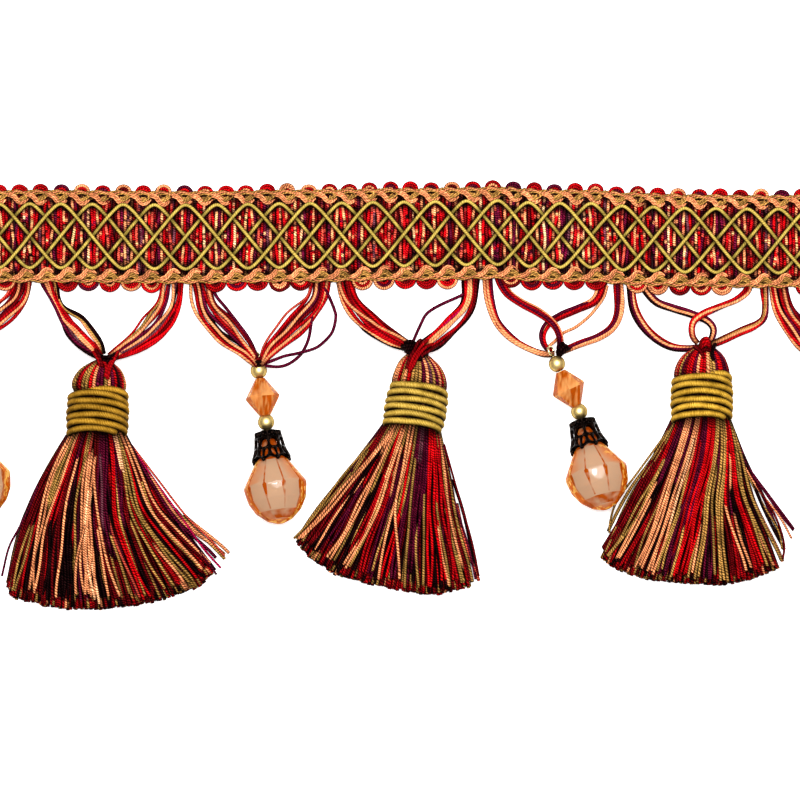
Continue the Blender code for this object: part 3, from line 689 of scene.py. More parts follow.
# %% Threads of the legs
def leg_strands(loop, leg):
    """The threads of a leg, from under the heading's lower braid to the knot."""
    rows = placed_rows(loop, leg)
    x, y, width = rows[0]
    path = smooth([(x, y + UNDER_BRAID, width), *rows], 0.7)
    centre = np.column_stack([path[:, :2], np.zeros(len(path))])
    side, _ = ring_frames(centre)
    share = np.linspace(0, 1, len(path))
    low, high = leg.rise
    height = low + (high - low) * ease(share)
    made = []
    for thread in leg.threads:
        across = np.interp(share, (0, 0.15, 0.55, 1), (thread.top, thread.top, thread.middle, thread.end))
        phase = draw.uniform(0, math.tau)
        across = across + 0.07 * np.sin(share * 9 + phase) + 0.05 * np.sin(share * 17 + phase * 3)
        offset = -across * np.maximum(path[:, 2] / 2 - thread.radius, 0.1)
        points = centre + side * offset[:, None]
        points[:, 2] = height + thread.lift + 0.12 * np.sin(share * 7 + phase)
        points = smooth(points[::2], 0.6)
        far = np.linspace(0, 1, len(points))
        # painted shade: dark where a leg comes out from under the braid, and near the knot
        shade = np.interp(far, (0, 0.12, 0.2, 0.84, 1), (0.3, 0.5, 1, 1, 0.2))[:, None]
        shade = shade * draw.uniform(0.8, 1.2)
        made.append(Strand(points, thread.radius, np.array(PALETTE[thread.colour]) * shade))
    return made


for number, loop in enumerate(LOOPS, 1):
    inner = ("cross_right", "cross_left") if loop.legs is CROSSED_BEAD_LOOP else ("cross_left", "cross_right")
    nodes = [f"loop_{number}_{name}" for name in ("left", "right", *inner)[:len(loop.legs)]]
    strands = [strand for leg in loop.legs for strand in leg_strands(loop, leg)]
    make_strands(f"loop_{number}_yarns", strands, loop_yarn, "loop_yarn", *nodes)


def clear_of_loops(x):
    """Whether a picot here would stand clear of every leg's foot."""
    feet = [placed_rows(loop, leg)[0] for loop in LOOPS for leg in loop.legs]
    return all(abs(x - foot_x) >= width / 2 + 0.1 for foot_x, _, width in feet)


# %% [markdown]
# ## Picots
# Where a weft yarn turns round at an edge it leaves a small loop, a picot. Two yarns turn together, a dark
# one outside and a light one inside. Half a ring would do for the shape, but picots differ in width and
# reach, so one short route is stretched to each place. The lower picots are larger, and stop where the yarns
# run on as loops.

# %% Picots
PICOT_RADIUS = 0.44
PICOT_RING = 0.62  # from one yarn of a picot to the next one inside it
PICOT_COLOURS = (("crimson", 5), ("scarlet", 4), ("plum", 3), ("burgundy", 1), ("peach", 4))
PICOT_HEARTS = (("burgundy", 3), ("crimson", 2), ("peach", 2))
PICOT_WAY = places("-0.9 -0.7 0, -1 0.1 0.6, -0.75 0.72 0.95, 0 1 1, 0.75 0.72 0.95, 1 0.1 0.6, 0.9 -0.7 0")


class Edge(NamedTuple):
    """An edge of the heading: the first picot's place and their pitch, where a picot leaves the edge, how
    far out it turns round and half its width, the middle of the chain and the way along Y from there
    to the lattice, and whether loops leave this edge."""

    first: float
    pitch: float
    base: float
    crest: float
    half_width: float
    chain: float
    inward: int
    has_loops: bool


EDGES = {
    "top": Edge(first=-126.0, pitch=5.15, base=10.9, crest=13.1, half_width=1.65,
                chain=9.7, inward=-1, has_loops=False),
    "bottom": Edge(first=-125.4, pitch=5.28, base=-10.7, crest=-13.9, half_width=2.35,
                   chain=-9.85, inward=1, has_loops=True),
}


def picot(x, base, crest, half_width, height, colour):
    """A yarn that comes out of the edge, turns round and goes back."""
    points = [(x + half_width * a, base + centre_y(x) + (crest - base) * b, 0.6 + (height - 0.6) * c)
              for a, b, c in PICOT_WAY]
    return Strand(smooth(points, 0.5), PICOT_RADIUS, shaded(colour, draw.uniform(0.7, 1.1)))

# %% Rows of picots
def edge_picots(edge):
    """A row of picots. Each has yarns one inside the other, dark at the heart, where an ink yarn fills the
    hole with painted shade, and often a light one that has slipped to one side."""
    made = []
    for k in range(int((HEADING_LENGTH / 2 - 1 - edge.first) / edge.pitch) + 1):
        x = edge.first + k * edge.pitch + draw.uniform(-0.2, 0.2)
        colours = [pick(PICOT_COLOURS), pick(PICOT_COLOURS), pick(PICOT_HEARTS)]
        reach = edge.crest - edge.inward * (draw.uniform(-0.25, 0.2) - PICOT_RADIUS)
        slip = draw.choice((-1, 1, 1)) * draw.uniform(0.3, 0.7)
        light = draw.random() < 0.6
        if edge.has_loops and not clear_of_loops(x):
            continue
        # the last yarn, in ink, fills the picot's hole with painted shade
        for ring, colour in enumerate((*colours, "ink")):
            inside = PICOT_RING * ring
            half = max(edge.half_width - inside, 0.2)
            made.append(picot(x, edge.base, reach + edge.inward * inside, half, 1.9 - 0.25 * ring, colour))
        if light:
            crest = reach + edge.inward * 0.35
            made.append(picot(x + slip, edge.base, crest, edge.half_width - 0.4, 1.4, "peach"))
    return made


for title, edge in EDGES.items():
    make_strands(f"picots_{title}", edge_picots(edge), weft_yarn, "ground_yarn")

# %% [markdown]
# ## Chained braid
# Each edge is finished with a chain of links, worked in peach and tan over the turns of the weft. A link
# starts as a slanting peach bar on top of the chain, opens into an arch towards the lattice, and dips under
# the next bar. Tan strands follow inside the arch, and more tan strands run along the outside. Between them a
# small hole is left, and two dark strands that run low along the chain fill it with painted shade. A real
# chain is one thread pulled through itself, which is hard to follow. One link is easier: the lists below give
# it as (along, towards the lattice, height) from the middle of its hole, and it is set down again and again,
# a little uneven.

# %% Chains
CHAIN_RADIUS = 0.28
LINK_AHEAD, LINK_BEHIND = 3.2, 4.1  # the room that a link needs beside its middle
PEACH_LINK = places(
    "-4 -0.55 0.9, -3.4 -0.4 2, -2.6 -0.15 2.7, -1.9 0.2 2.75, -1.3 0.95 2.6, -0.6 1.6 2.45, 0.2 1.8 2.4, "
    "1 1.45 2.3, 1.6 0.8 2, 2.1 0.15 1.4, 2.5 -0.2 0.9")
TAN_LINK = places(
    "-2.3 -0.7 1.2, -1.5 0.05 1.9, -0.7 0.62 2.3, 0.1 0.75 2.4, 0.9 0.5 2.35, 1.6 -0.05 2.3, 2.2 -0.6 2.1, "
    "2.9 -0.95 1.2")
RUNNERS = (  # strands that run on along the edge: place, height, phase, swing, colour and brightness
    # the first two lie low under the holes and are dark: painted shade in the holes
    (-0.3, 1.5, 0.0, 0.1, "tan", 0.3),
    (0.25, 1.5, 1.0, 0.1, "tan", 0.3),
    (-0.75, 2.1, 0.0, 0.3, "tan", 1.0),
    (-1.15, 2.25, 0.5, 0.34, "peach", 0.75),
    (-1.5, 1.9, 1.4, 0.22, "tan", 0.9),
)

# %% Links
def chain_link(link, offsets, x, edge, colour):
    """Strands side by side along a link; offsets gives each one's distance from the first, towards the
    outside."""
    made = []
    grow = draw.uniform(0.88, 1.1)
    route = smooth([(x + s, t * grow, z) for s, t, z in link], 0.5)
    side, _ = ring_frames(route)
    for offset in offsets:
        points = route + side * offset
        points[:, 2] -= 0.25 * offset
        stray = np.array([centre_y(v) for v in points[:, 0]])
        points[:, 1] = edge.chain + edge.inward * points[:, 1] + stray
        made.append(Strand(points, CHAIN_RADIUS, shaded(colour, draw.uniform(0.6, 1.2))))
    return made


def chain_strands(edge):
    """Links from left to right, and the strands that run on along the edge."""
    made = []
    for k in range(int((HEADING_LENGTH / 2 - LINK_AHEAD - edge.first) / edge.pitch) + 1):
        x = edge.first + k * edge.pitch + draw.uniform(-0.2, 0.2)
        if x < -HEADING_LENGTH / 2 + LINK_BEHIND:
            continue
        made += chain_link(PEACH_LINK, (0.0, 0.42, 0.84), x, edge, "peach")
        made += chain_link(TAN_LINK, (0.0, 0.42, 0.8), x, edge, "tan")
    xs = np.arange(-HEADING_LENGTH / 2 + 0.2, HEADING_LENGTH / 2 - 0.2, 0.6)
    stray = np.array([centre_y(v) for v in xs])
    turn = (xs - edge.first) / edge.pitch * math.tau
    for place, height, phase, swing, colour, light in RUNNERS:
        ys = edge.chain + edge.inward * (place - swing * np.cos(turn + phase)) + stray
        zs = height + 0.3 * np.cos(turn * 2 + phase)
        made.append(Strand(np.column_stack([xs, ys, zs]), CHAIN_RADIUS, shaded(colour, light)))
    return made


for title, edge in EDGES.items():
    make_strands(f"chain_{title}", chain_strands(edge), chain_yarn, "chain_yarn", f"edge_chain_{title}")

# %% [markdown]
# ## Lattice of gimp cord
# Gimp is a core wrapped closely in shiny thread. Four cords zigzag along the heading, each a column behind
# the last, so that two meet at every crossing. One cord is always on top and one always below, and the other
# two take turns. Drawn by hand they would never cross so evenly, so one formula gives all four. A cord rises
# by its own thickness where it runs over another.

# %% Lattice
CORD_RADIUS = 0.48
CORD_HEIGHT = 2.75
UNDER_SHADE = 0.7  # how much a cord darkens where it dives under another
CORD_RANKS = (0, 3, 1, 2)  # the order in which the cords lie on each other
# where a cord meets others: columns past its peak, and how many cords further on the other one is
MEETINGS = ((0.5, 1), (1.0, 2), (1.5, 3), (2.5, 1), (3.0, 2), (3.5, 3))


def cord_height(column, phase):
    """1 on top of a crossing, -1 under one and 0 half way between."""
    for place, other in MEETINGS:
        away = abs(column % 4 - place)
        if away < 0.25:
            over = CORD_RANKS[phase] > CORD_RANKS[(phase + other) % 4]
            return (1 if over else -1) * math.cos(away / 0.25 * math.pi / 2) ** 2
    return 0.0


for phase in range(4):
    rows = []
    for x in np.arange(-HEADING_LENGTH / 2 + 0.3, HEADING_LENGTH / 2 - 0.2, 0.75):
        column = (x - FIRST_COLUMN_X) / COLUMN_PITCH - phase
        up = cord_height(column, phase)
        rows.append((x, lattice_y(column) + centre_y(x), CORD_HEIGHT + CORD_RADIUS * up,
                     1.05 - UNDER_SHADE * max(-up, 0)))
    rows = smooth(rows, 0.7)
    cord = Strand(rows[:, :3], CORD_RADIUS, rows[:, 3:] * PALETTE["gold"])
    make_strands(f"lattice_{phase + 1}", [cord], gimp, "gold_gimp", f"lattice_cord_{phase + 1}", sides=8)

# %% [markdown]
# ## Tassels
# A tassel is a hank of yarns folded over the loop, bound at the neck with thick gimp and cut level at the
# foot. Its head is a dome of yarns side by side. The skirt is a mass of dark yarns with lighter and brighter
# locks lying on it. Hair particles would leave its outline and its colours to chance, so the yarns are
# strands too. A lock is a few yarns of one colour, and the table below gives each lock its own way down the
# skirt.

# %% Tassel sizes
BINDING_AXIS = 6.0


class Lock(NamedTuple):
    """Yarns of one colour. Shares from -1 at the left to 1 at the right say where it lies at the neck,
    half way down and at the foot. It starts and ends at shares of the way down, and lies higher or
    lower than the rest."""

    colour: str
    yarns: int
    neck: float
    middle: float
    foot: float
    start: float = 0.0
    end: float = 0.97
    lift: float = 0.0


class Wind(NamedTuple):
    """How a binding is wound: the angle where it starts, its turns and their pitch, how far they rise on
    the face, how far they fall to the right, where their middle is, and how light the cord is."""

    start: float
    turns: float
    pitch: float
    rise: float
    skew: float
    middle: float
    light: tuple


class Tassel(NamedTuple):
    """The middle of the neck, the top of the head, the lean of the foot, the binding, the dome's height
    above the middle, the hem, the skirt's mass as a share of the hem's width, the head's colours from
    the left, the skirt's locks, stray yarns, and how far its left and right edges bow to the right."""

    x: float
    y: float
    top_x: float
    lean: float
    wind: Wind
    dome: float
    hem: list
    mass: tuple
    head: str
    locks: list
    strays: list
    bow: tuple = (0.0, 0.0)


def locks(text):
    """Locks: a colour's initial, the number of yarns, then a Lock's other columns in hundredths."""
    rows = [row.split() for row in text.split(",")]
    return [Lock(INITIALS[row[0]], int(row[1]), *hundredths(row[2:])) for row in rows]

# %% Three tassels
TASSELS = (
    Tassel(
        x=-75.4, y=-43.3, top_x=-74.2, lean=2.2, dome=12.2, mass=(-0.98, 0.88), bow=(-2.9, -1.2),
        wind=Wind(start=110, turns=6.2, pitch=1.75, rise=2, skew=0.05, middle=0, light=(0.98, 0.73, 0.34)),
        hem=places("-98.4 -85.6, -97 -89.6, -85.8 -92.4, -74 -92.6, -61.8 -90.8, -50.7 -87.2, -44 -80.2"),
        head="fcoobcoospvvopvckbsop",
        locks=locks("""\
        o 1 -98 -96 -90, b 3 -90 -90 -93, o 2 -80 -80 -86 55, p 2 -84 -73 -70 0 96 30,
        o 3 -73 -66 -66 0 50 10, p 1 -62 -62 -69 0 95 30, c 2 -52 -57 -60 0 60, k 3 -50 -55 -56,
        b 2 -45 -50 -50, v 2 -38 -40 -42 0 50, p 1 -42 -43 -49 12 96 30, c 1 -30 -31 -33 0 70,
        k 3 -35 -36 -40, t 2 -22 -27 -30 0 30, o 1 -20 -31 -29 10 95 20, r 1 -12 -20 -20 0 50,
        p 4 -8 -17 -20 12 94 50, w 2 -4 -14 -16 30 97 60, p 1 -8 -17 -37 50 93 90, p 2 0 -12 -25 40 92 80,
        p 1 -2 -2 7 15 95 60, p 1 -10 -5 -2 50 94 40, v 5 20 2 5 0 75, m 1 14 6 5 10 60 20, b 2 2 0 2,
        t 1 30 12 14 55 96 20, s 1 46 20 24 0 98 40, s 1 50 22 30 0 97 30, v 2 56 30 36 0 60,
        o 1 50 27 25 20 96 30, r 1 40 14 20 50 97 30, b 3 60 37 40, w 2 62 42 50 0 32 40,
        o 1 66 42 53 20 96 40, o 2 72 50 68 0 96 30, c 2 66 46 58 30, t 1 55 36 44 50 96 20,
        p 1 60 44 62 70 97 30, s 1 78 58 74 10 98 30, k 2 78 60 75, p 1 84 66 82 0 95 50,
        o 1 88 68 79 30 96 20, b 3 86 70 84, p 1 92 76 90 0 96 40, k 1 94 78 88, v 1 95 86 95,
        p 1 96 90 101 30, p 2 96 92 104 66 100 20, t 1 96 92 100 60 100 20"""),
        strays=routes("""\
        v -90.4 -62, -92.6 -67.6, -95.2 -72.7, -97.8 -77.6, -99.6 -84.8;
        f -69.2 -49, -61.4 -60.7, -54.5 -70.3, -49.1 -77.9, -44.8 -82.8;
        v -69.6 -49.5, -61 -62.6, -54 -73.6, -48.6 -80.6, -45.9 -84.4;
        r -69.2 -49.2, -60.2 -61, -53.4 -69.8, -47.2 -75.9, -43.9 -79.8""")),
    Tassel(
        x=3.9, y=-42.9, top_x=4.6, lean=8.6, dome=13.8, mass=(-0.97, 0.92),
        wind=Wind(start=200, turns=5.6, pitch=1.82, rise=1.6, skew=-0.2, middle=-0.9,
                  light=(1.12, 1.01, 0.84)),
        hem=places("-26.2 -75.8, -21.9 -80.1, -16.2 -83.8, -7 -86.4, 1.2 -88, 8.6 -89.1, 19.5 -86.4"),
        head="tpppctpstotvpmtvpctcf",
        locks=locks("""\
        v 1 -98 -95 -90 0 50, c 2 -90 -86 -85 0 45, o 1 -95 -102 -100 15 98 30, o 2 -90 -93 -96 20 97 10,
        p 2 -60 -88 -97 0 97 90, b 3 -80 -82 -88, k 3 -70 -76 -80, t 2 -75 -70 -72 0 30 40,
        p 4 -60 -56 -60 0 25 50, p 1 -70 -72 -80 35 97 30, p 1 -52 -56 -62 10 95 70,
        p 1 -50 -53 -58 30 96 50, o 1 -45 -50 -55 30 96 40, v 2 -60 -66 -70 45 90, k 3 -40 -44 -48 35,
        t 2 -48 -50 -55 0 50 50, t 1 -40 -42 -50 40 90 10, c 2 -38 -34 -42 30 90 30,
        p 2 -30 -28 -42 0 95 60, o 1 -20 -26 -38 35 95 50, s 2 -36 -30 -30 0 30 30, c 2 -22 -20 -25,
        t 1 -18 -19 -22 0 40 40, p 1 -20 -14 -20 10 50 50, p 1 -8 -2 22 0 96 150, p 1 6 -5 -4 0 97 120,
        t 1 0 -10 -12 50 95 20, v 3 -5 -10 -14 20, k 2 0 -4 -8 40, o 1 16 10 4 0 60 50, o 1 10 4 0 25 60 40,
        s 2 12 8 0 10 97 50, s 2 0 -4 -8 70 97 20, v 2 20 14 10, o 1 25 20 25 18 100 80,
        v 4 38 30 33 0 90 20, m 2 36 28 30 0 30 30, v 2 50 40 40 0 60 40, o 1 50 42 44 35 97 60,
        o 1 44 34 37 60 97 20, s 2 66 50 50 0 97 60, k 4 70 58 59 30, s 2 74 62 66 0 95 50,
        c 2 84 75 78 0 96 60, p 1 70 62 70 55 97 40, o 1 75 64 72 40 97 30, o 2 86 80 86 0 97 50,
        p 1 92 84 88 0 90 50, c 2 85 82 82 30, b 2 96 90 93, o 1 98 92 95 0 98 30, k 1 98 104 100 35 98 20,
        r 1 100 98 100 50 99"""),
        strays=routes("""\
        o -6 -50.2, -14.6 -60, -21.4 -69.8, -26.6 -75.4;
        b 11 -51.8, 14.4 -63.8, 17.9 -76, 19.7 -84.8;
        v 10.8 -52, 13.6 -65.8, 17 -77, 18.9 -85.6""")),
    Tassel(
        x=75.3, y=-40.6, top_x=75.9, lean=0, dome=13.2, mass=(-0.97, 0.88),
        wind=Wind(start=81, turns=6.15, pitch=1.84, rise=2.2, skew=0, middle=-1.2, light=(1.27, 1.03, 0.58)),
        hem=places("50 -79.6, 54.4 -82.7, 62.5 -85.3, 71.5 -86, 80.6 -86.5, 88.4 -85, 97.2 -81.1"),
        head="krpcovbcsvpscptovssvvcbk",
        locks=locks("""\
        c 2 -97 -97 -97 0 30, o 1 -85 -108 -103 0 85 30, o 1 -80 -100 -97 0 95, b 5 -85 -90 -95,
        c 2 -80 -78 -80 0 50 20, v 2 -66 -68 -70 0 50 30, o 2 -62 -82 -92 25 97 40,
        p 1 -60 -74 -86 40 97 50, p 1 -55 -70 -83 50 96 30, k 3 -60 -70 -80, c 2 -50 -60 -76 60 97 30,
        b 2 -50 -58 -68, p 3 -46 -52 -58 0 96 60, o 1 -50 -58 -64 15 96 30, k 2 -35 -45 -54,
        v 1 -30 -42 -50 0 50, p 3 -12 -36 -46 0 97 60, w 1 -14 -34 -42 10 70 90, o 1 -5 -27 -40 30 97 50,
        o 1 -2 -24 -36 50 95 30, c 1 0 -24 -33 0 60 50, k 1 10 -16 -34, v 5 18 -14 -31 0 97 30,
        c 1 10 -18 -28 10 90 50, t 1 20 -12 -25 65 97 50, s 5 42 0 -16 0 97 60, t 2 58 12 4 0 98 80,
        o 1 56 8 -6 50 97 30, p 1 50 6 -2 60 95 40, o 1 60 22 22 30 97 80, v 3 62 18 14 0 97,
        k 2 60 20 10 40, c 2 66 26 24 60 98 20, t 3 78 33 30 0 100 60, r 1 70 28 30 20 50 70,
        s 1 86 42 44 0 60 70, b 3 80 42 44 20, p 1 80 42 56 50 96 60, c 2 84 48 48 60 100 20,
        p 1 86 50 62 60 94 60, k 2 86 54 60, s 2 92 60 76 0 95 70, p 1 88 52 50 20 50 60, c 2 90 62 70 60,
        o 2 96 72 83 0 96 40, p 1 94 70 86 65 100 30, k 1 95 74 85, o 1 100 86 93 0 98 40,
        p 1 98 86 95 55 98 30, v 1 100 100 108 0 86 50, k 1 100 95 102 0 94 20"""),
        strays=routes("""\
        o 68 -47, 59.4 -58.8, 54.3 -65.9, 52.6 -70.9, 52.4 -74;
        v 83 -50, 87 -57.4, 92.6 -65, 98.6 -73;
        v 82.8 -49.6, 86 -56.8, 90.4 -62.6, 95.2 -69.4, 98.4 -73.4;
        o 82.4 -50.4, 86.2 -58.2, 90.6 -66.6, 94.6 -73.4, 95.6 -78;
        b 83.4 -52.4, 88.6 -61.4, 93.6 -69.4, 96 -76.4, 95.8 -80.6;
        p 84.2 -54, 89.6 -63.2, 94.6 -69.4, 98 -75.4""")),
)

# %% Round the head and down the skirt
HEAD_ROWS = (  # a share of the way up the dome, half the width there, the height, and a share of the sway
    (1.0, 1.5, 1.1, 1.0), (0.93, 2.5, 2.2, 0.9), (0.8, 3.8, 3.4, 0.7), (0.62, 5.2, 4.4, 0.4),
    (0.33, 6.3, 5.1, 0.1), (0.0, 6.75, 5.2, 0.0),
)
DOME_FOOT = -6.0
HEAD_BACK = "bcovkbpscobv"  # colours of the yarns that carry on round the back
HEAD_STRAND = 0.56
SKIRT_ROWS = ((0.0, 8.4), (0.1, 8.9), (0.28, 8.0), (0.5, 6.8), (0.72, 5.4), (0.9, 3.9), (1.0, 2.8))
SKIRT_HALF_WIDTH = 6.2
TASSEL_STRAND = 0.43

print("locks on the skirts:", [len(tassel.locks) for tassel in TASSELS])


def axes_of(tassel):
    """The directions down a tassel and across it, as arrays."""
    lean = math.radians(tassel.lean)
    return np.array([-math.sin(lean), -math.cos(lean), 0]), np.array([math.cos(lean), -math.sin(lean), 0])


def about(side, angle, wide, high):
    """A place on an oval round a tassel's line, by its angle up from the side."""
    return side * math.cos(angle) * wide + np.array([0, 0, math.sin(angle) * high])


def neck_end(wind):
    """How far down the yarns of the head and of the skirt meet, inside the binding."""
    return wind.turns * wind.pitch / 2 + wind.middle - 1.2


def along_hem(hem, share):
    """The place at a share of the hem's length; beyond its ends the hem runs straight on."""
    corners = np.array(hem, float)
    lengths = lengths_along(corners)
    place = share * lengths[-1]
    k = int(np.clip(np.searchsorted(lengths, place) - 1, 0, len(corners) - 2))
    part = (place - lengths[k]) / (lengths[k + 1] - lengths[k])
    return np.append(corners[k] + (corners[k + 1] - corners[k]) * part, 0)


# %% [markdown]
# ## Heads
# The yarns of a head run over a dome, from the knot down into the binding. A turned dome with painted stripes
# would show no gaps between them. Here the rows above are ovals cut through the dome, and each yarn keeps its
# angle from one oval to the next. The ones at the back are there too, for a look from the side.

# %% Heads
def head_strands(tassel):
    """Yarns side by side over the dome, from the knot to under the binding."""
    down, side = axes_of(tassel)
    middle = np.array([tassel.x, tassel.y, BINDING_AXIS])
    height = tassel.dome + DOME_FOOT
    sway = side * (tassel.top_x - tassel.x - down[0] * -tassel.dome)
    rows = [(DOME_FOOT - height * share, wide, high, swayed) for share, wide, high, swayed in HEAD_ROWS]
    rows += [(DOME_FOOT + 2.4, 6.0, 4.4, 0.0), (neck_end(tassel.wind), 5.9, 4.3, 0.0)]
    made = []
    for k, initial in enumerate(tassel.head + HEAD_BACK):
        angle = math.pi * (1 - (k + 0.5) / len(tassel.head))
        size = draw.uniform(0.97, 1.03)
        route = smooth([middle + down * place + sway * share
                        + about(side, angle, (wide - 0.4) * size, (high - 0.4) * size)
                        for place, wide, high, share in rows], 0.6)
        far = np.linspace(0, 1, len(route))
        # painted shade: dark at the top under the knot, and where the yarns go in under the binding
        shade = np.interp(far, (0, 0.1, 0.22, 0.42, 0.5, 0.6), (0.1, 0.6, 1, 1, 0.35, 0.06))[:, None]
        tint = np.array(PALETTE[INITIALS[initial]]) * shade * draw.uniform(0.85, 1.2)
        made.append(Strand(route, HEAD_STRAND, tint, about(side, angle, 1, 1)))
    return made


# %% [markdown]
# ## Skirts
# The yarns of a skirt start side by side in the neck and end side by side along the hem. So one share from -1
# to 1 places a yarn at every height, and it leaves the skirt only where the table says so. Four layers of
# dark yarns fill the mass, each a little lower than the last, and the locks lie on top. The lower layers are
# painted darker, as shade, and each yarn of the mass and of the locks is painted dark just under the
# binding. A lock that starts part of the way down comes up out of the mass there, and where a lock sinks in
# it is painted darker, as shade. A few stray yarns hang beside it.

# %% Skirts
BASE_LAYERS = (  # strands, height in the skirt, how far they pass the hem, step along the strand, brightness
    # the last column is painted shade: the lower a layer lies, the darker it is
    (88, 0.82, 0.3, 1.25, 1.0),
    (70, 0.6, 0.6, 1.8, 0.6),
    (56, 0.34, 0.8, 2.4, 0.4),
    (48, 0.08, 0.8, 2.9, 0.4),
)
BASE_COLOURS = (("burgundy", 7), ("ink", 6), ("plum", 2), ("crimson", 3), ("olive", 1), ("tan", 1))
TIP_COLOURS = (("crimson", 5), ("burgundy", 4), ("olive", 3), ("ink", 3), ("peach", 1))
LOCK_STEP = 0.85
SKIRT_LENGTH = 46  # roughly, along a yarn, to share out the steps
NECK_TO_HEM = 45


def uneven(shares, low, high):
    """Brightness that wanders along a yarn."""
    return np.interp(shares, np.linspace(0, 1, 8), [draw.uniform(low, high) for _ in range(8)])[:, None]


def skirt_strand(tassel, across, shares, level, lift, colour, light):
    """A yarn down the skirt; across says where it lies at each share of the way down."""
    down, side = axes_of(tassel)
    neck = np.array([tassel.x, tassel.y, 0]) + down * neck_end(tassel.wind)
    rows = []
    for place, share in zip(across, shares):
        start = neck + side * SKIRT_HALF_WIDTH * place
        tip = along_hem(tassel.hem, place / 2 + 0.5)
        bulge = math.sqrt(max(0.0, 1 - min(place * place, 1)))
        top = np.interp(share, *zip(*SKIRT_ROWS)) * (0.35 + 0.65 * bulge)
        point = start + (tip - start) * share
        point = point + side * np.interp(place, (-1, 1), tassel.bow) * math.sin(math.pi * min(share, 1))
        rows.append((point[0], point[1], max(0.45 + (top - 0.9) * level + lift, 0.45)))
    # painted shade: dark just under the binding
    neck_shade = np.interp(shares, (0.0, 0.06, 0.13), (0.05, 0.3, 1.0))[:, None]
    return Strand(np.array(rows), TASSEL_STRAND, np.array(PALETTE[colour]) * neck_shade * light)

# %% Mass of the skirt
def base_strands(tassel):
    """The skirt's mass, in layers from the face down, with tips of other colours."""
    made = []
    low, high = tassel.mass
    for count, level, past, step, layer_shade in BASE_LAYERS:
        for k in range(count):
            place = low + (high - low) * (k + 0.5 + draw.uniform(-0.45, 0.45)) / count
            end = 1.0 + (past + draw.uniform(-0.6, 0.15)) / NECK_TO_HEM
            shares = np.linspace(0, end, int(SKIRT_LENGTH / step))
            wave, phase = draw.uniform(-0.03, 0.03), draw.uniform(0, math.tau)
            across = place + wave * np.sin(shares * 5 + phase) * shares
            across = across + wave / 4 * np.sin(shares * 15 + phase)
            strand = skirt_strand(tassel, np.clip(across, low, high), shares, level, draw.uniform(-0.5, 0.2),
                                  pick(BASE_COLOURS), uneven(shares, 0.35, 1.15) * layer_shade)
            strand.tint[shares > end - 0.045] = shaded(pick(TIP_COLOURS), draw.uniform(0.4, 0.9))
            made.append(strand)
    return made

# %% Locks
def lock_strands(tassel):
    """The locks' yarns, which fan out a little and sink in where a lock starts or ends part of the way
    down, and are painted darker there, as shade."""
    made = []
    for lock in tassel.locks:
        bend = draw.uniform(-0.02, 0.02)
        for k in range(lock.yarns):
            end = lock.end + draw.uniform(-0.02, 0.012)
            count = max(8, int(SKIRT_LENGTH * (end - lock.start) / LOCK_STEP))
            shares = np.linspace(lock.start, end, count)
            apart = (k - (lock.yarns - 1) / 2) * np.interp(shares, (0, 0.4, 1), (0.075, 0.042, 0.032))
            spread = np.interp(shares, (0, 0.5, 1), (lock.neck, lock.middle, lock.foot))
            spread = np.convolve(np.pad(spread, 4, "edge"), np.ones(9) / 9, "valid")
            wave, phase = draw.uniform(0.005, 0.018), draw.uniform(0, math.tau)
            across = spread + apart + bend * np.sin(shares * 7) * shares
            across = across + wave * np.sin(shares * draw.uniform(7, 14) + phase)
            lift = lock.lift + draw.uniform(-0.15, 0.3)
            seen = np.interp(shares, (lock.start, lock.start + 0.07, end - 0.07, end),
                             (0.0 if lock.start else 1.0, 1.0, 1.0, 0.0 if lock.end < 0.92 else 1.0))
            # painted shade: a lock darkens where it sinks into the mass
            light = uneven(shares, 0.7, 1.2) * draw.uniform(0.8, 1.1) * (0.15 + 0.85 * seen[:, None])
            strand = skirt_strand(tassel, across, shares, 0.97, lift, lock.colour, light)
            strand.points[:, 2] -= 1 - seen
            made.append(strand)
    return made


def stray_strands(tassel):
    made = []
    for colour, route in tassel.strays:
        points = [(x, y, 4.6 - 3.4 * k / len(route)) for k, (x, y) in enumerate(route)]
        made.append(Strand(smooth(points, 0.8), 0.28, PALETTE[colour]))
    return made


# %% [markdown]
# ## Bindings
# Each neck is wound with one long gimp cord. Stacked rings would be easier to make, but a real winding climbs
# from turn to turn and has its two ends tucked in. So the cord is one helix on an oval, with a formula for
# how its turns tilt.

# %% Bindings
BINDING_CORD = 0.88
BINDING_HALF_WIDTH, BINDING_HALF_HEIGHT = 6.7, 4.85
STEPS_A_TURN = 36
MOTTLE = 12  # steps from one change of brightness to the next


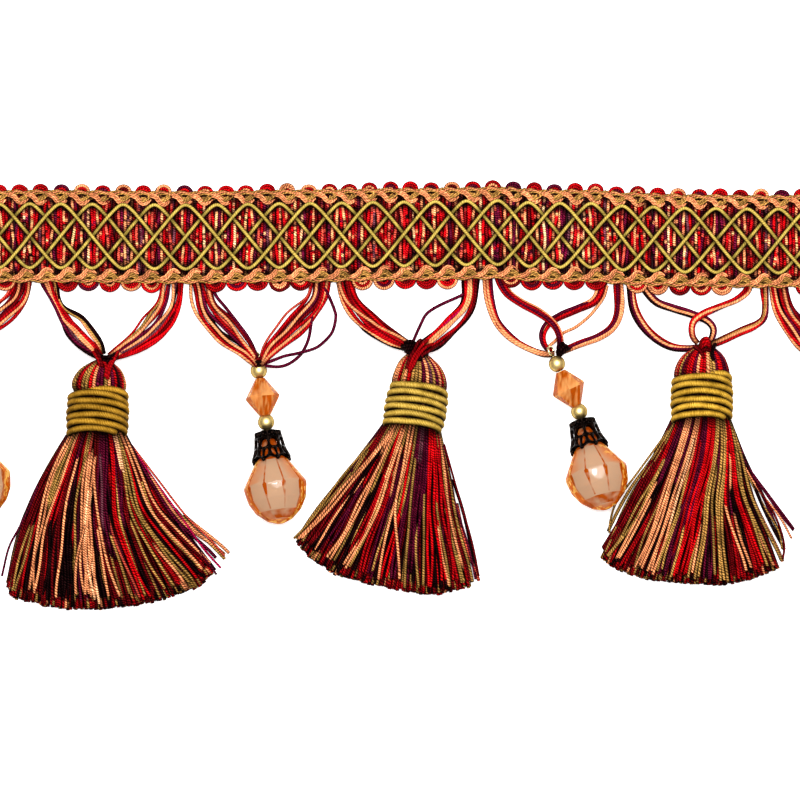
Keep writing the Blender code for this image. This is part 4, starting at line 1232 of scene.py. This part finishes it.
def binding_strand(tassel):
    """One long cord that winds round the neck. The turns lie tilted, higher on the face than at the back,
    and both ends are tucked in."""
    down, side = axes_of(tassel)
    wind = tassel.wind
    middle = np.array([tassel.x, tassel.y, BINDING_AXIS]) + down * wind.middle
    rows, outward = [], []
    for n in range(int(wind.turns * STEPS_A_TURN) + 1):
        turn = n / STEPS_A_TURN
        angle = math.radians(wind.start) - math.tau * turn
        first, last = max(0, 1 - turn / 0.12), max(0, 1 - (wind.turns - turn) / 0.1)
        place = (turn - wind.turns / 2) * wind.pitch + wind.rise * (0.65 - math.sin(angle - wind.skew))
        place += first - 0.3 * last + 0.14 * math.sin(turn * 16.3 + tassel.x)
        bow = 0.35 * math.cos((turn / wind.turns - 0.5) * math.pi) + 0.06 * math.sin(turn * 9)
        bow -= 0.7 * (first + last)
        oval = about(side, angle, BINDING_HALF_WIDTH + bow, BINDING_HALF_HEIGHT + bow)
        rows.append(middle + down * place + oval)
        outward.append(about(side, angle, 1, 1))
    marks = np.arange(0, len(rows) + MOTTLE, MOTTLE)
    light = np.interp(np.arange(len(rows)), marks, [draw.uniform(0.75, 1.15) for _ in marks])[:, None]
    tint = np.array(PALETTE["old_gold"]) * light * wind.light
    return Strand(np.array(rows), BINDING_CORD, tint, np.array(outward))

# %% Tassel pieces
for number, tassel in enumerate(TASSELS, 1):
    stem = f"tassel_{number}_"
    make_strands(stem + "head", head_strands(tassel), yarn, "tassel_yarn")
    skirt = base_strands(tassel) + lock_strands(tassel) + stray_strands(tassel)
    make_strands(stem + "skirt", skirt, yarn, "tassel_yarn", stem + "yarn")
    cord = [binding_strand(tassel)]
    make_strands(stem + "cord", cord, binding_gimp, "gold_gimp", stem + "binding", sides=12)

# %% [markdown]
# ## Knots and straps
# Each loop is tied where its legs meet. The turns of the tie make a small hard knot, and above two of the
# tassels its end comes down over the head as a strap. Most of a real knot is hidden inside it, so only the
# turns that show are drawn, each by its places from end to end. Loose threads hang beside some of the legs.

# %% Knots
TIE_YARN = 0.5
LOOSE_THREAD = 0.4

# tassel 1: a dark turn between two crimson ones, and a strap over the head
TIES = routes("""\
c -76.6 -28.6 6.6, -75.7 -29.7 9, -75 -31 9.8, -74.6 -32.4 9.4;
b -75.9 -28.2 6.8, -75.1 -29.5 9.3, -74.5 -31 9.9, -74 -32.6 9.8;
k -75 -29.6 8.4, -73.6 -30.1 9.9, -72 -29.9 9.4, -70.9 -29.2 7.6;
k -74.7 -30.5 8.8, -73.3 -31 10.1, -71.9 -30.8 9.7, -70.6 -29.8 7.6;
c -70.4 -28.8 7, -71 -30.4 9.3, -71.8 -32 10.4, -72.4 -34 11.2, -72.7 -35.6 11.4;
c -71.2 -30 8.6, -72.2 -31.6 10.3, -72.8 -33.2 11, -73.3 -35 11.5;
c -73.9 -30.9 9.6, -73.2 -32 10.5, -73 -33.4 11.1, -72.9 -35.2 11.5""")
# tassel 2: a big dark knot, and a strap that slants over the head
TIES += routes("""\
k 1.3 -26.5 7.2, 2.1 -26.2 9.2, 2.9 -26.2 9.2, 3.5 -26.4 7.6;
k 0.5 -27.3 7.4, 1.8 -27.2 9.8, 3 -27.1 9.8, 4.1 -27.2 7.8;
k 0.6 -28 7.4, 1.8 -28 9.9, 3 -27.9 9.9, 4.1 -27.9 7.8;
k 1.4 -28.5 7.4, 2 -28.9 9.4, 2.8 -28.8 9.4, 3.3 -28.5 7.8;
c 6.9 -25.9 6.4, 5.6 -27 9.4, 4 -29 10.2, 3 -30.8 10.8, 2.2 -33.2 11.2;
c 7.8 -26.9 6.4, 6.2 -27.8 9.4, 4.8 -29.4 10.2, 3.5 -31.4 10.9, 2.5 -33.2 11.3;
b 5.1 -25.8 6.4, 4.4 -26.6 9.6, 3.4 -28.6 10.3, 2.4 -30.4 10.6, 1.6 -33 10.9;
c 5 -28.2 9.6, 4.2 -30 10.4, 3.4 -32 11.2, 2.2 -33.8 11.3;
b 9.4 -27 6.6, 7.4 -28.4 9, 5.8 -29.4 9.9, 4.9 -30.6 10.4;
k 6.8 -29.2 8.6, 6 -29.5 9.6, 5.2 -30 10.2, 4.9 -31 10.6""")
# tassel 3: a round crimson knot
TIES += routes("""\
c 74.9 -27 7.2, 75.4 -25.7 9, 76.4 -25.4 9.2, 77.2 -26.4 7.6;
s 74.8 -27.8 7.4, 75.5 -26.4 9.7, 76.5 -26.2 9.8, 77.3 -27.4 7.8;
c 74.8 -28.6 7.6, 75.5 -27.2 9.9, 76.5 -27 9.9, 77.3 -28.2 7.9;
b 74.6 -29.3 7.8, 75.6 -28.3 9.9, 76.8 -28.3 9.9, 77.9 -29.2 7.9;
b 73.4 -27.4 7.2, 74.4 -28.2 9.2, 75.2 -29.4 10, 75.6 -30.6 10.4;
k 78.6 -26.8 7.2, 77.9 -28.2 9.2, 77.6 -29.6 10, 78 -31 10.2""")
# the bead loops: dark turns close above the pins
TIES += routes("""\
k -36.6 -30.2 2.6, -35.8 -31.2 4.6, -34.8 -31.2 4.6, -34 -30.2 2.8;
k -36.4 -31 2.6, -35.7 -32 4.5, -34.8 -32 4.5, -34.2 -31 2.8;
b -36.8 -29.4 2.6, -35.9 -30.4 4.6, -34.8 -30.4 4.6, -33.9 -29.4 2.8;
k 39.3 -28.9 4.2, 39.9 -27.4 5.8, 40.4 -26.6 5.6, 40.9 -26.9 4.2;
k 39.4 -29.4 4.2, 40.2 -28.2 6, 41 -27.2 5.8, 41.6 -27.3 4.2;
k 39.7 -29.8 4, 40.6 -28.9 5.6, 41.5 -28.1 5.4, 42.2 -28 4;
k -113 -28.8 2.6, -112.2 -29.8 4.6, -111.4 -29.8 4.6, -110.6 -28.8 2.8;
k 107.6 -33 2.6, 108.4 -34 4.6, 109.2 -34 4.6, 110 -33 2.8""")
LOOSE_THREADS = routes("""\
v -19 -12.6 1.6, -17.6 -15.2 1.6, -16.3 -18.5 1, -16.1 -20.3 0.9, -17 -23.8 1.2, -19.5 -26.6 1.6,
-21.8 -28 1.9, -25.8 -29.1 2.3, -29 -29.8 2.8, -33.2 -31.4 3.6, -35 -31.8 3.4;
v -22 -19.4 2.4, -22.2 -21.4 2.2, -22.6 -24.2 1.4, -23.4 -26.8 0.8, -25 -29.5 0.7, -27.5 -31.5 1.2,
-30.2 -32.4 2, -33.6 -32.2 3.2, -35.2 -31.8 3.2;
v 16.6 -13.8 1.6, 15.3 -14.6 1.9, 13.3 -15.5 2, 10.4 -16.8 2.3, 7.6 -18.4 3, 6.2 -19.8 3.7, 5.2 -21.8 4.6,
4.1 -24.2 5.8, 3 -26.8 7;
p 51.9 -12.1 1.4, 51 -15 1.5, 49.2 -17.6 1.4, 47.3 -19.8 1.2, 44.1 -22.4 1, 40.8 -24 1, 38.9 -25.9 1.4,
37.3 -27.2 2.6""")

ties = [Strand(smooth(way, 0.45), TIE_YARN, shaded(colour, 0.7)) for colour, way in TIES]
make_strands("ties", ties, loop_yarn, "loop_yarn")
loose = [Strand(smooth(way, 0.6), LOOSE_THREAD, shaded(colour, 0.9)) for colour, way in LOOSE_THREADS]
make_strands("loose_threads", loose, loop_yarn, "loop_yarn")

# %% [markdown]
# ## Bead drops
# A drop is a wire pin with an eye at its top, strung with a small gold bead, a bicone crystal, another gold
# bead, a pierced bronze cap and a faceted crystal pear. Each kind of bead is modelled once, standing on end,
# and each drop gets its own copies. All of them are round about the pin, so they are turned: a ring is drawn
# down from row to row and made wider or narrower on the way.

# %% Turning tools
def turned(name, rows, sides, turn=0.0):
    """A ring drawn down from row to row of (radius, distance down), extruded and scaled as by hand."""
    deselect()
    radius, down = rows[0]
    bpy.ops.mesh.primitive_circle_add(vertices=sides, radius=radius * MM, location=(0, 0, -down * MM))
    piece = bpy.context.object
    piece.name = name
    settle()
    bpy.ops.object.mode_set(mode="EDIT")
    bpy.ops.mesh.select_all(action="SELECT")
    bpy.ops.transform.rotate(value=turn, orient_axis="Z", center_override=(0, 0, 0))
    for next_radius, next_down in rows[1:]:
        bpy.ops.mesh.extrude_region_move(TRANSFORM_OT_translate={"value": (0, 0, (down - next_down) * MM)})
        bpy.ops.transform.resize(value=(next_radius / radius, next_radius / radius, 1))
        radius, down = next_radius, next_down
    return piece


def choose(kind, test):
    """In edit mode, selects the vertices or edges whose middle passes the test."""
    bpy.ops.mesh.select_mode(type={"verts": "VERT", "edges": "EDGE"}[kind])
    bpy.ops.mesh.select_all(action="DESELECT")
    mesh = bmesh.from_edit_mesh(bpy.context.object.data)
    for item in getattr(mesh, kind):
        corners = [item] if kind == "verts" else item.verts
        item.select_set(test(sum((v.co for v in corners), Vector()) / len(corners) / MM))
    bmesh.update_edit_mesh(bpy.context.object.data)


def close_up(piece, bored=False):
    """Joins a bored bead's ends through its bore, or caps a solid one's, and points its faces outwards."""
    bpy.ops.mesh.select_all(action="DESELECT")
    bpy.ops.mesh.select_non_manifold()
    if bored:
        bpy.ops.mesh.bridge_edge_loops()
    else:
        bpy.ops.mesh.edge_face_add()
    bpy.ops.mesh.select_all(action="SELECT")
    bpy.ops.mesh.remove_doubles(threshold=0.01 * MM)
    bpy.ops.mesh.normals_make_consistent(inside=False)
    bpy.ops.object.mode_set(mode="OBJECT")
    return piece


def round_about(place):
    """The angle of a place round the bead's bore, in turns from 0 to 1."""
    return math.atan2(place.y, place.x) / math.tau % 1


# %% [markdown]
# ## Gold beads
# The gold beads are small metal balls with a bore. A ready-made sphere has closed poles, so the ball is
# turned instead, from the edge of the bore at one end to the edge at the other, and bridged through the
# middle.

# %% Gold bead
GOLD_RADIUS = 2.05
BORE_RADIUS = 0.5
GOLD_ROWS = 14

first_row = math.asin(BORE_RADIUS / GOLD_RADIUS)
angles = [first_row + (math.pi - 2 * first_row) * n / GOLD_ROWS for n in range(GOLD_ROWS + 1)]
gold_rows = [(GOLD_RADIUS * math.sin(a), -GOLD_RADIUS * math.cos(a)) for a in angles]
gold_bead = close_up(turned("gold_bead", gold_rows, 28), bored=True)
bpy.ops.object.shade_smooth_by_angle(angle=math.radians(50))

# painted dark reflection: the edge tint is dark, and the colour darkens towards the bead's outline
gold_metal, surface, start = new_surface(
    "gold_bead_metal", {"Metallic": 1.0, "Specular Tint": (0.1, 0.07, 0.02, 1)})
scuff = start.noise(900.0, detail=3.0)
polish = start.mixed(scuff, (0.70, 0.50, 0.18), (0.90, 0.72, 0.34))
# painted dark reflection towards the outline
drive(surface, "Base Color", start.mixed(start.facing() ** 1.5, polish, (0.12, 0.07, 0.01)))
drive(surface, "Roughness", scuff * 0.16 + 0.38)
gold_bead.data.materials.append(gold_metal)
measured("gold bead", gold_bead.dimensions)

# %% [markdown]
# ## Crystals
# The bicones and the pears are cut from tinted acrylic. Clear glass would show only what stands round it, and
# at this size it is slow and speckled. So the material lets part of the light through and paints the rest:
# pale where a facet is seen face on, deep at the rim, with a tone for each facet, a soft painted mottle and a
# few painted glints.

# %% Crystal
# the tint of the painted glints near a crystal's outline
SPARKLE = (1.0, 0.6, 0.14)
BICONE_ENDS, BICONE_RADIUS = 4.75, 4.2
# how deep each facet's colour is painted, standing for the light that the facet bends
FACET_TONES = (0.7, 0.4, 0.15, 0.45, 0.3, 0.8, 0.2, 0.6)


def crystal(name, centre, rim, deep, clear, bend, mottle_scale):
    """Tinted acrylic, with the light that passes through it and bounces inside painted into its colour: pale
    where it is seen face on, deeper towards its outline, deepest where tone is 1, and with painted glints
    near the outline. The last argument says how close the painted mottle stands each way."""
    made, surface, start = new_surface(name, {"Transmission Weight": clear, "IOR": bend, "Roughness": 0.03,
                                              "Coat Roughness": 0.06})
    facing = start.facing()
    glint_cells = start.node("ShaderNodeTexVoronoi", {}, {"Vector": start.spot(), "Scale": 1100.0}, out="Color")
    inside = start.node("ShaderNodeMapping", {}, {"Vector": start.spot(), "Scale": mottle_scale})
    # painted mottle in the deep tone, standing for the light that the facets bend
    refraction_mottle = start.node("ShaderNodeTexNoise", {}, {"Vector": inside, "Scale": 1.0, "Detail": 1.0}, out="Fac")
    edge = start.math("MAXIMUM", facing * 3 - 1.2, 0.0)
    # painted glints: bright cells near the outline
    sparkle = (start.node("ShaderNodeSeparateXYZ", {}, {0: glint_cells}, out="X") - 0.62) * edge * 6
    # painted light: pale where a facet is seen face on, deep towards the outline
    pale = start.mixed(facing * 3.2 + start.noise(220.0) * 0.6 - 1.2, centre, rim)
    pale = start.mixed(sparkle, pale, SPARKLE)
    tone = start.attribute("tone", "Fac")
    drive(surface, "Base Color", start.mixed(tone * (refraction_mottle * 3.4 - 0.7), pale, deep))
    drive(surface, "Coat Weight", (1 - facing) ** 4 * 0.55)
    return made

# %% Bicone
def tone_faces(piece, tone_of):
    """Writes how deep each face corner's colour is, from the face's middle and the corner, in
    millimetres."""
    mesh = piece.data
    layer = mesh.attributes.new("tone", "FLOAT", "CORNER")
    for face in mesh.polygons:
        for corner in face.loop_indices:
            spot = mesh.vertices[mesh.loops[corner].vertex_index].co / MM
            layer.data[corner].value = tone_of(face.center / MM, spot)


def bicone_tone(face, spot):
    """Each facet has its own tone, and the flat ends are deep."""
    if abs(spot.z) > 4:
        return 0.9
    return FACET_TONES[int(round_about(face) * 8 + (3 if face.z < 0 else 0)) % 8]


bicone_rows = [(BORE_RADIUS, -BICONE_ENDS), (1.25, -BICONE_ENDS), (BICONE_RADIUS, -0.25),
               (BICONE_RADIUS, 0.25), (1.25, BICONE_ENDS), (BORE_RADIUS, BICONE_ENDS)]
bicone = close_up(turned("bicone", bicone_rows, len(FACET_TONES)), bored=True)
tone_faces(bicone, bicone_tone)
bicone.data.materials.append(crystal(
    "amber_crystal", centre=(0.84, 0.43, 0.155), rim=(0.62, 0.16, 0.01), deep=(0.45, 0.095, 0.001),
    clear=0.4, bend=1.1, mottle_scale=(1500, 170, 600)))
measured("bicone", bicone.dimensions)

# %% [markdown]
# ## Pear drops
# A pear has ten long facets that swell from a slim neck to a girdle, and a narrow facet along each seam.
# Drawing twenty sides would make all of them alike, so ten are turned, and a bevel then cuts the narrow ones.
# Those at the girdle are spread a little wider.

# %% Crystal pear
PEAR_SIDES = 10
PEAR_NECK = 5.4
PEAR_ROWS = ((1.5, 0.0), (4.1, PEAR_NECK), (7.95, 11.5), (7.95, 12.3), (7.3, 15.6), (5.7, 18.4), (3.2, 20.6),
             (0.8, 21.5))
SEAM_SPREAD = 2.8

pear = close_up(turned("pear", PEAR_ROWS, PEAR_SIDES, turn=math.pi / PEAR_SIDES))
bpy.ops.object.mode_set(mode="EDIT")
bpy.ops.mesh.select_all(action="SELECT")
bpy.ops.mesh.bevel(offset=0.2 * MM, segments=1, affect="EDGES")
bpy.ops.object.mode_set(mode="OBJECT")
for vertex in pear.data.vertices:  # the slim facet on each seam widens at the girdle
    if -13 < vertex.co.z / MM < -11.9:
        turn = math.atan2(vertex.co.y, vertex.co.x) / math.tau * PEAR_SIDES
        spread = (turn - round(turn)) * (SEAM_SPREAD - 1) / PEAR_SIDES * math.tau
        vertex.co = Matrix.Rotation(spread, 3, "Z") @ vertex.co


def pear_tone(face, spot):
    """Painted light and shade: deep in the neck under the cap, along the seams about the girdle, and in a
    band of facets near the foot.
    """
    turn = round_about(face) * PEAR_SIDES
    if face.z > -PEAR_NECK:
        return 0.95
    if abs(turn - round(turn)) < 0.1 and face.z > -17:
        return float(np.interp(spot.z, (-15.5, -12.5, -11, -5.5), (0.5, 1.0, 0.8, 0.4)))
    if -20.4 < face.z < -18.6:
        return (0.9, 0.35, 0.7)[int(turn) % 3] if spot.z < -19 else 0.6
    return 0.0


tone_faces(pear, pear_tone)
bpy.ops.object.shade_smooth_by_angle(angle=math.radians(21))
pear.data.materials.append(crystal(
    "peach_crystal", centre=(0.50, 0.322, 0.205), rim=(0.66, 0.145, 0.003), deep=(0.38, 0.07, 0.002),
    clear=0.35, bend=1.05, mottle_scale=(520, 520, 520)))
measured("pear", pear.dimensions)

# %% [markdown]
# ## Pierced cap
# The cap is stamped filigree: a crown over an arcade of oval windows, and below it eight pointed petals, each
# ending in a small ball. Windows cut out of a cone would leave flat, sharp bars. So only the bars between
# openings are drawn, as the edges of a coarse shell. A Wireframe modifier gives every edge its round bar, and
# one level of subdivision softens the corners.

# %% Cap
PETALS = 8
CAP_ROWS = ((2.9, 0.4), (3.2, 2.0), (3.55, 4.4), (4.15, 6.2))
CROWN_ROWS = ((0.6, -0.3), (1.7, -0.2), (2.6, 0.3), (3.2, 1.1), (3.1, 1.7), (2.6, 1.2), (0.6, 0.5))
KNOBS = ((2.9, 0.9, 0.7), (4.7, 7.5, 0.55))  # distance out and down, and radius
BAR = 1.15

cap = turned("cap", CAP_ROWS, PETALS * 2)


def sector(place):
    """Which of the bars round the cap this is, and how far off it is: even ones run down the petals."""
    turn = math.atan2(place.y, place.x) / math.tau * PETALS * 2
    return round(turn), abs(turn - round(turn))


choose("verts", lambda place: place.z < -6 and sector(place)[0] % 2 == 0)
bpy.ops.transform.translate(value=(0, 0, -1.8 * MM))
bpy.ops.transform.resize(value=(1.22, 1.22, 1))
choose("edges", lambda place: -4.2 < place.z < -2.2 and sector(place)[0] % 2 == 0 and sector(place)[1] < 0.1)
bpy.ops.mesh.dissolve_edges(use_verts=False)
bpy.ops.mesh.select_mode(type="VERT")
bpy.ops.object.mode_set(mode="OBJECT")
bars = cap.modifiers.new("bars", "WIREFRAME")
bars.thickness = BAR * MM
bars.use_even_offset = False
bpy.ops.object.modifier_apply(modifier=bars.name)
softer = cap.modifiers.new("softer", "SUBSURF")
softer.levels = softer.render_levels = 1
bpy.ops.object.modifier_apply(modifier=softer.name)

crown = close_up(turned("crown", CROWN_ROWS, 24), bored=True)
knobs = []
for n in range(PETALS):
    angle = math.tau * n / PETALS
    for out, down, size in KNOBS:
        deselect()
        place = Vector((out * math.cos(angle), out * math.sin(angle), -down)) * MM
        bpy.ops.mesh.primitive_ico_sphere_add(subdivisions=2, radius=size * MM, location=place)
        settle()
        knobs.append(bpy.context.object)
deselect()
for part in (*knobs, crown, cap):
    part.select_set(True)
bpy.context.view_layer.objects.active = cap
bpy.ops.object.join()
bpy.ops.object.shade_smooth()

dark_bronze, surface, start = new_surface("dark_bronze", {"Metallic": 1.0})
patina = start.noise(1400.0, detail=3.0)
drive(surface, "Base Color", start.mixed(patina ** 2, (0.003, 0.002, 0.003), (0.035, 0.02, 0.012)))
drive(surface, "Roughness", patina * 0.3 + 0.25)
cap.data.materials.clear()
cap.data.materials.append(dark_bronze)
measured("cap", cap.dimensions)

# %% [markdown]
# ## Stringing the drops
# A drop hangs crooked: its pin bends at the lower gold bead. A copy of each bead takes its place from the
# plain model. The two gold beads and the crystals give the two lines that the pin follows, and the eye turns
# round above the upper bead. The wire is a strand like the yarns, with a rounder ring.

# %% Drops
CAP_BELOW_BEAD = 2.3
PEAR_BELOW_BEAD = 4.4
PIN_RADIUS = 0.28
PIN_IN_PEAR = 2.0
EYE_RADIUS = 1.15
EYE_ABOVE_BEAD = 3.6
EYE_TURN = 0.6
WIRE_TINT = (0.80, 0.66, 0.36)

pin_metal, surface, start = new_surface("pin_metal", {"Metallic": 1.0, "Roughness": 0.25})
drive(surface, "Base Color", start.attribute("tint", "Color"))


def middle_of(node):
    """The middle of a plain bead, which lies on its line."""
    low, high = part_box(node)
    return (Vector(low) + Vector(high)) / 2


def mean_of(node):
    points = [vertex.co for vertex in bpy.data.objects[node].data.vertices]
    return sum(points, Vector()) / len(points)

# %% Beads on the pin
def strung(model, name, slot, point, down, node):
    """A copy of a bead with its own mesh, stood on the pin's line and with its place in its mesh."""
    deselect()
    piece = placed(name, model.data.copy())
    turn = math.pi / PETALS if model == cap else 0.0
    stand = (-down).to_track_quat("Z", "Y") @ Matrix.Rotation(turn, 3, "Z").to_quaternion()
    piece.matrix_world = Matrix.LocRotScale(point, stand, None)
    piece.select_set(True)
    bpy.context.view_layer.objects.active = piece
    settle()
    finish_piece(piece, slot, node)


def pin(top, bend, upper, lower):
    """A wire from a round eye through the top bead and the bend to the pear."""
    down, start, turn = np.array(upper), np.array(top) / MM, np.array(bend) / MM
    across = np.array(UP) + EYE_TURN * np.cross(down, UP) - down * down[2]
    across /= np.linalg.norm(across)
    eye = start - down * EYE_ABOVE_BEAD
    ring = [eye + (down * math.cos(a) - across * math.sin(a)) * EYE_RADIUS
            for a in np.radians(np.linspace(30, 360, 22))]
    end = turn + np.array(lower) * (PEAR_BELOW_BEAD + PIN_IN_PEAR)
    return Strand(np.array([*ring, start - down * 2.0, start, turn, end]), PIN_RADIUS, WIRE_TINT,
                  np.cross(down, across))

# %% Four drops
for number in (1, 2, 3, 4):
    stem = f"bead_drop_{number}_"
    top, bend = middle_of(stem + "upper_gold_bead"), middle_of(stem + "lower_gold_bead")
    upper = (bend - top).normalized()
    lower = (mean_of(stem + "drop") - bend).normalized()
    beads = (
        (gold_bead, "upper_gold_bead", "gold_metal", top, upper),
        (bicone, "bicone", "amber_crystal", middle_of(stem + "bicone"), upper),
        (gold_bead, "lower_gold_bead", "gold_metal", bend, (upper + lower).normalized()),
        (cap, "cap", "dark_bronze", bend + lower * CAP_BELOW_BEAD * MM, lower),
        (pear, "drop", "peach_crystal", bend + lower * PEAR_BELOW_BEAD * MM, lower),
    )
    for model, node, slot, point, down in beads:
        strung(model, f"{stem}dressed_{node}", slot, point, down, stem + node)
    wire = pin(top, bend, upper, lower)
    make_strands(stem + "wire", [wire], pin_metal, "gold_metal", stem + "eye_pin", sides=10)
for model in (gold_bead, bicone, cap, pear):
    bpy.data.objects.remove(model)

# %% [markdown]
# ## Size
# The boxes of the plain model and of the dressed one are both printed before the frame closes. The dressed
# model has to stay inside the plain one's box.

# %% Finish
scene_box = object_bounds()
measured("box", (*scene_box[0], *scene_box[1]))
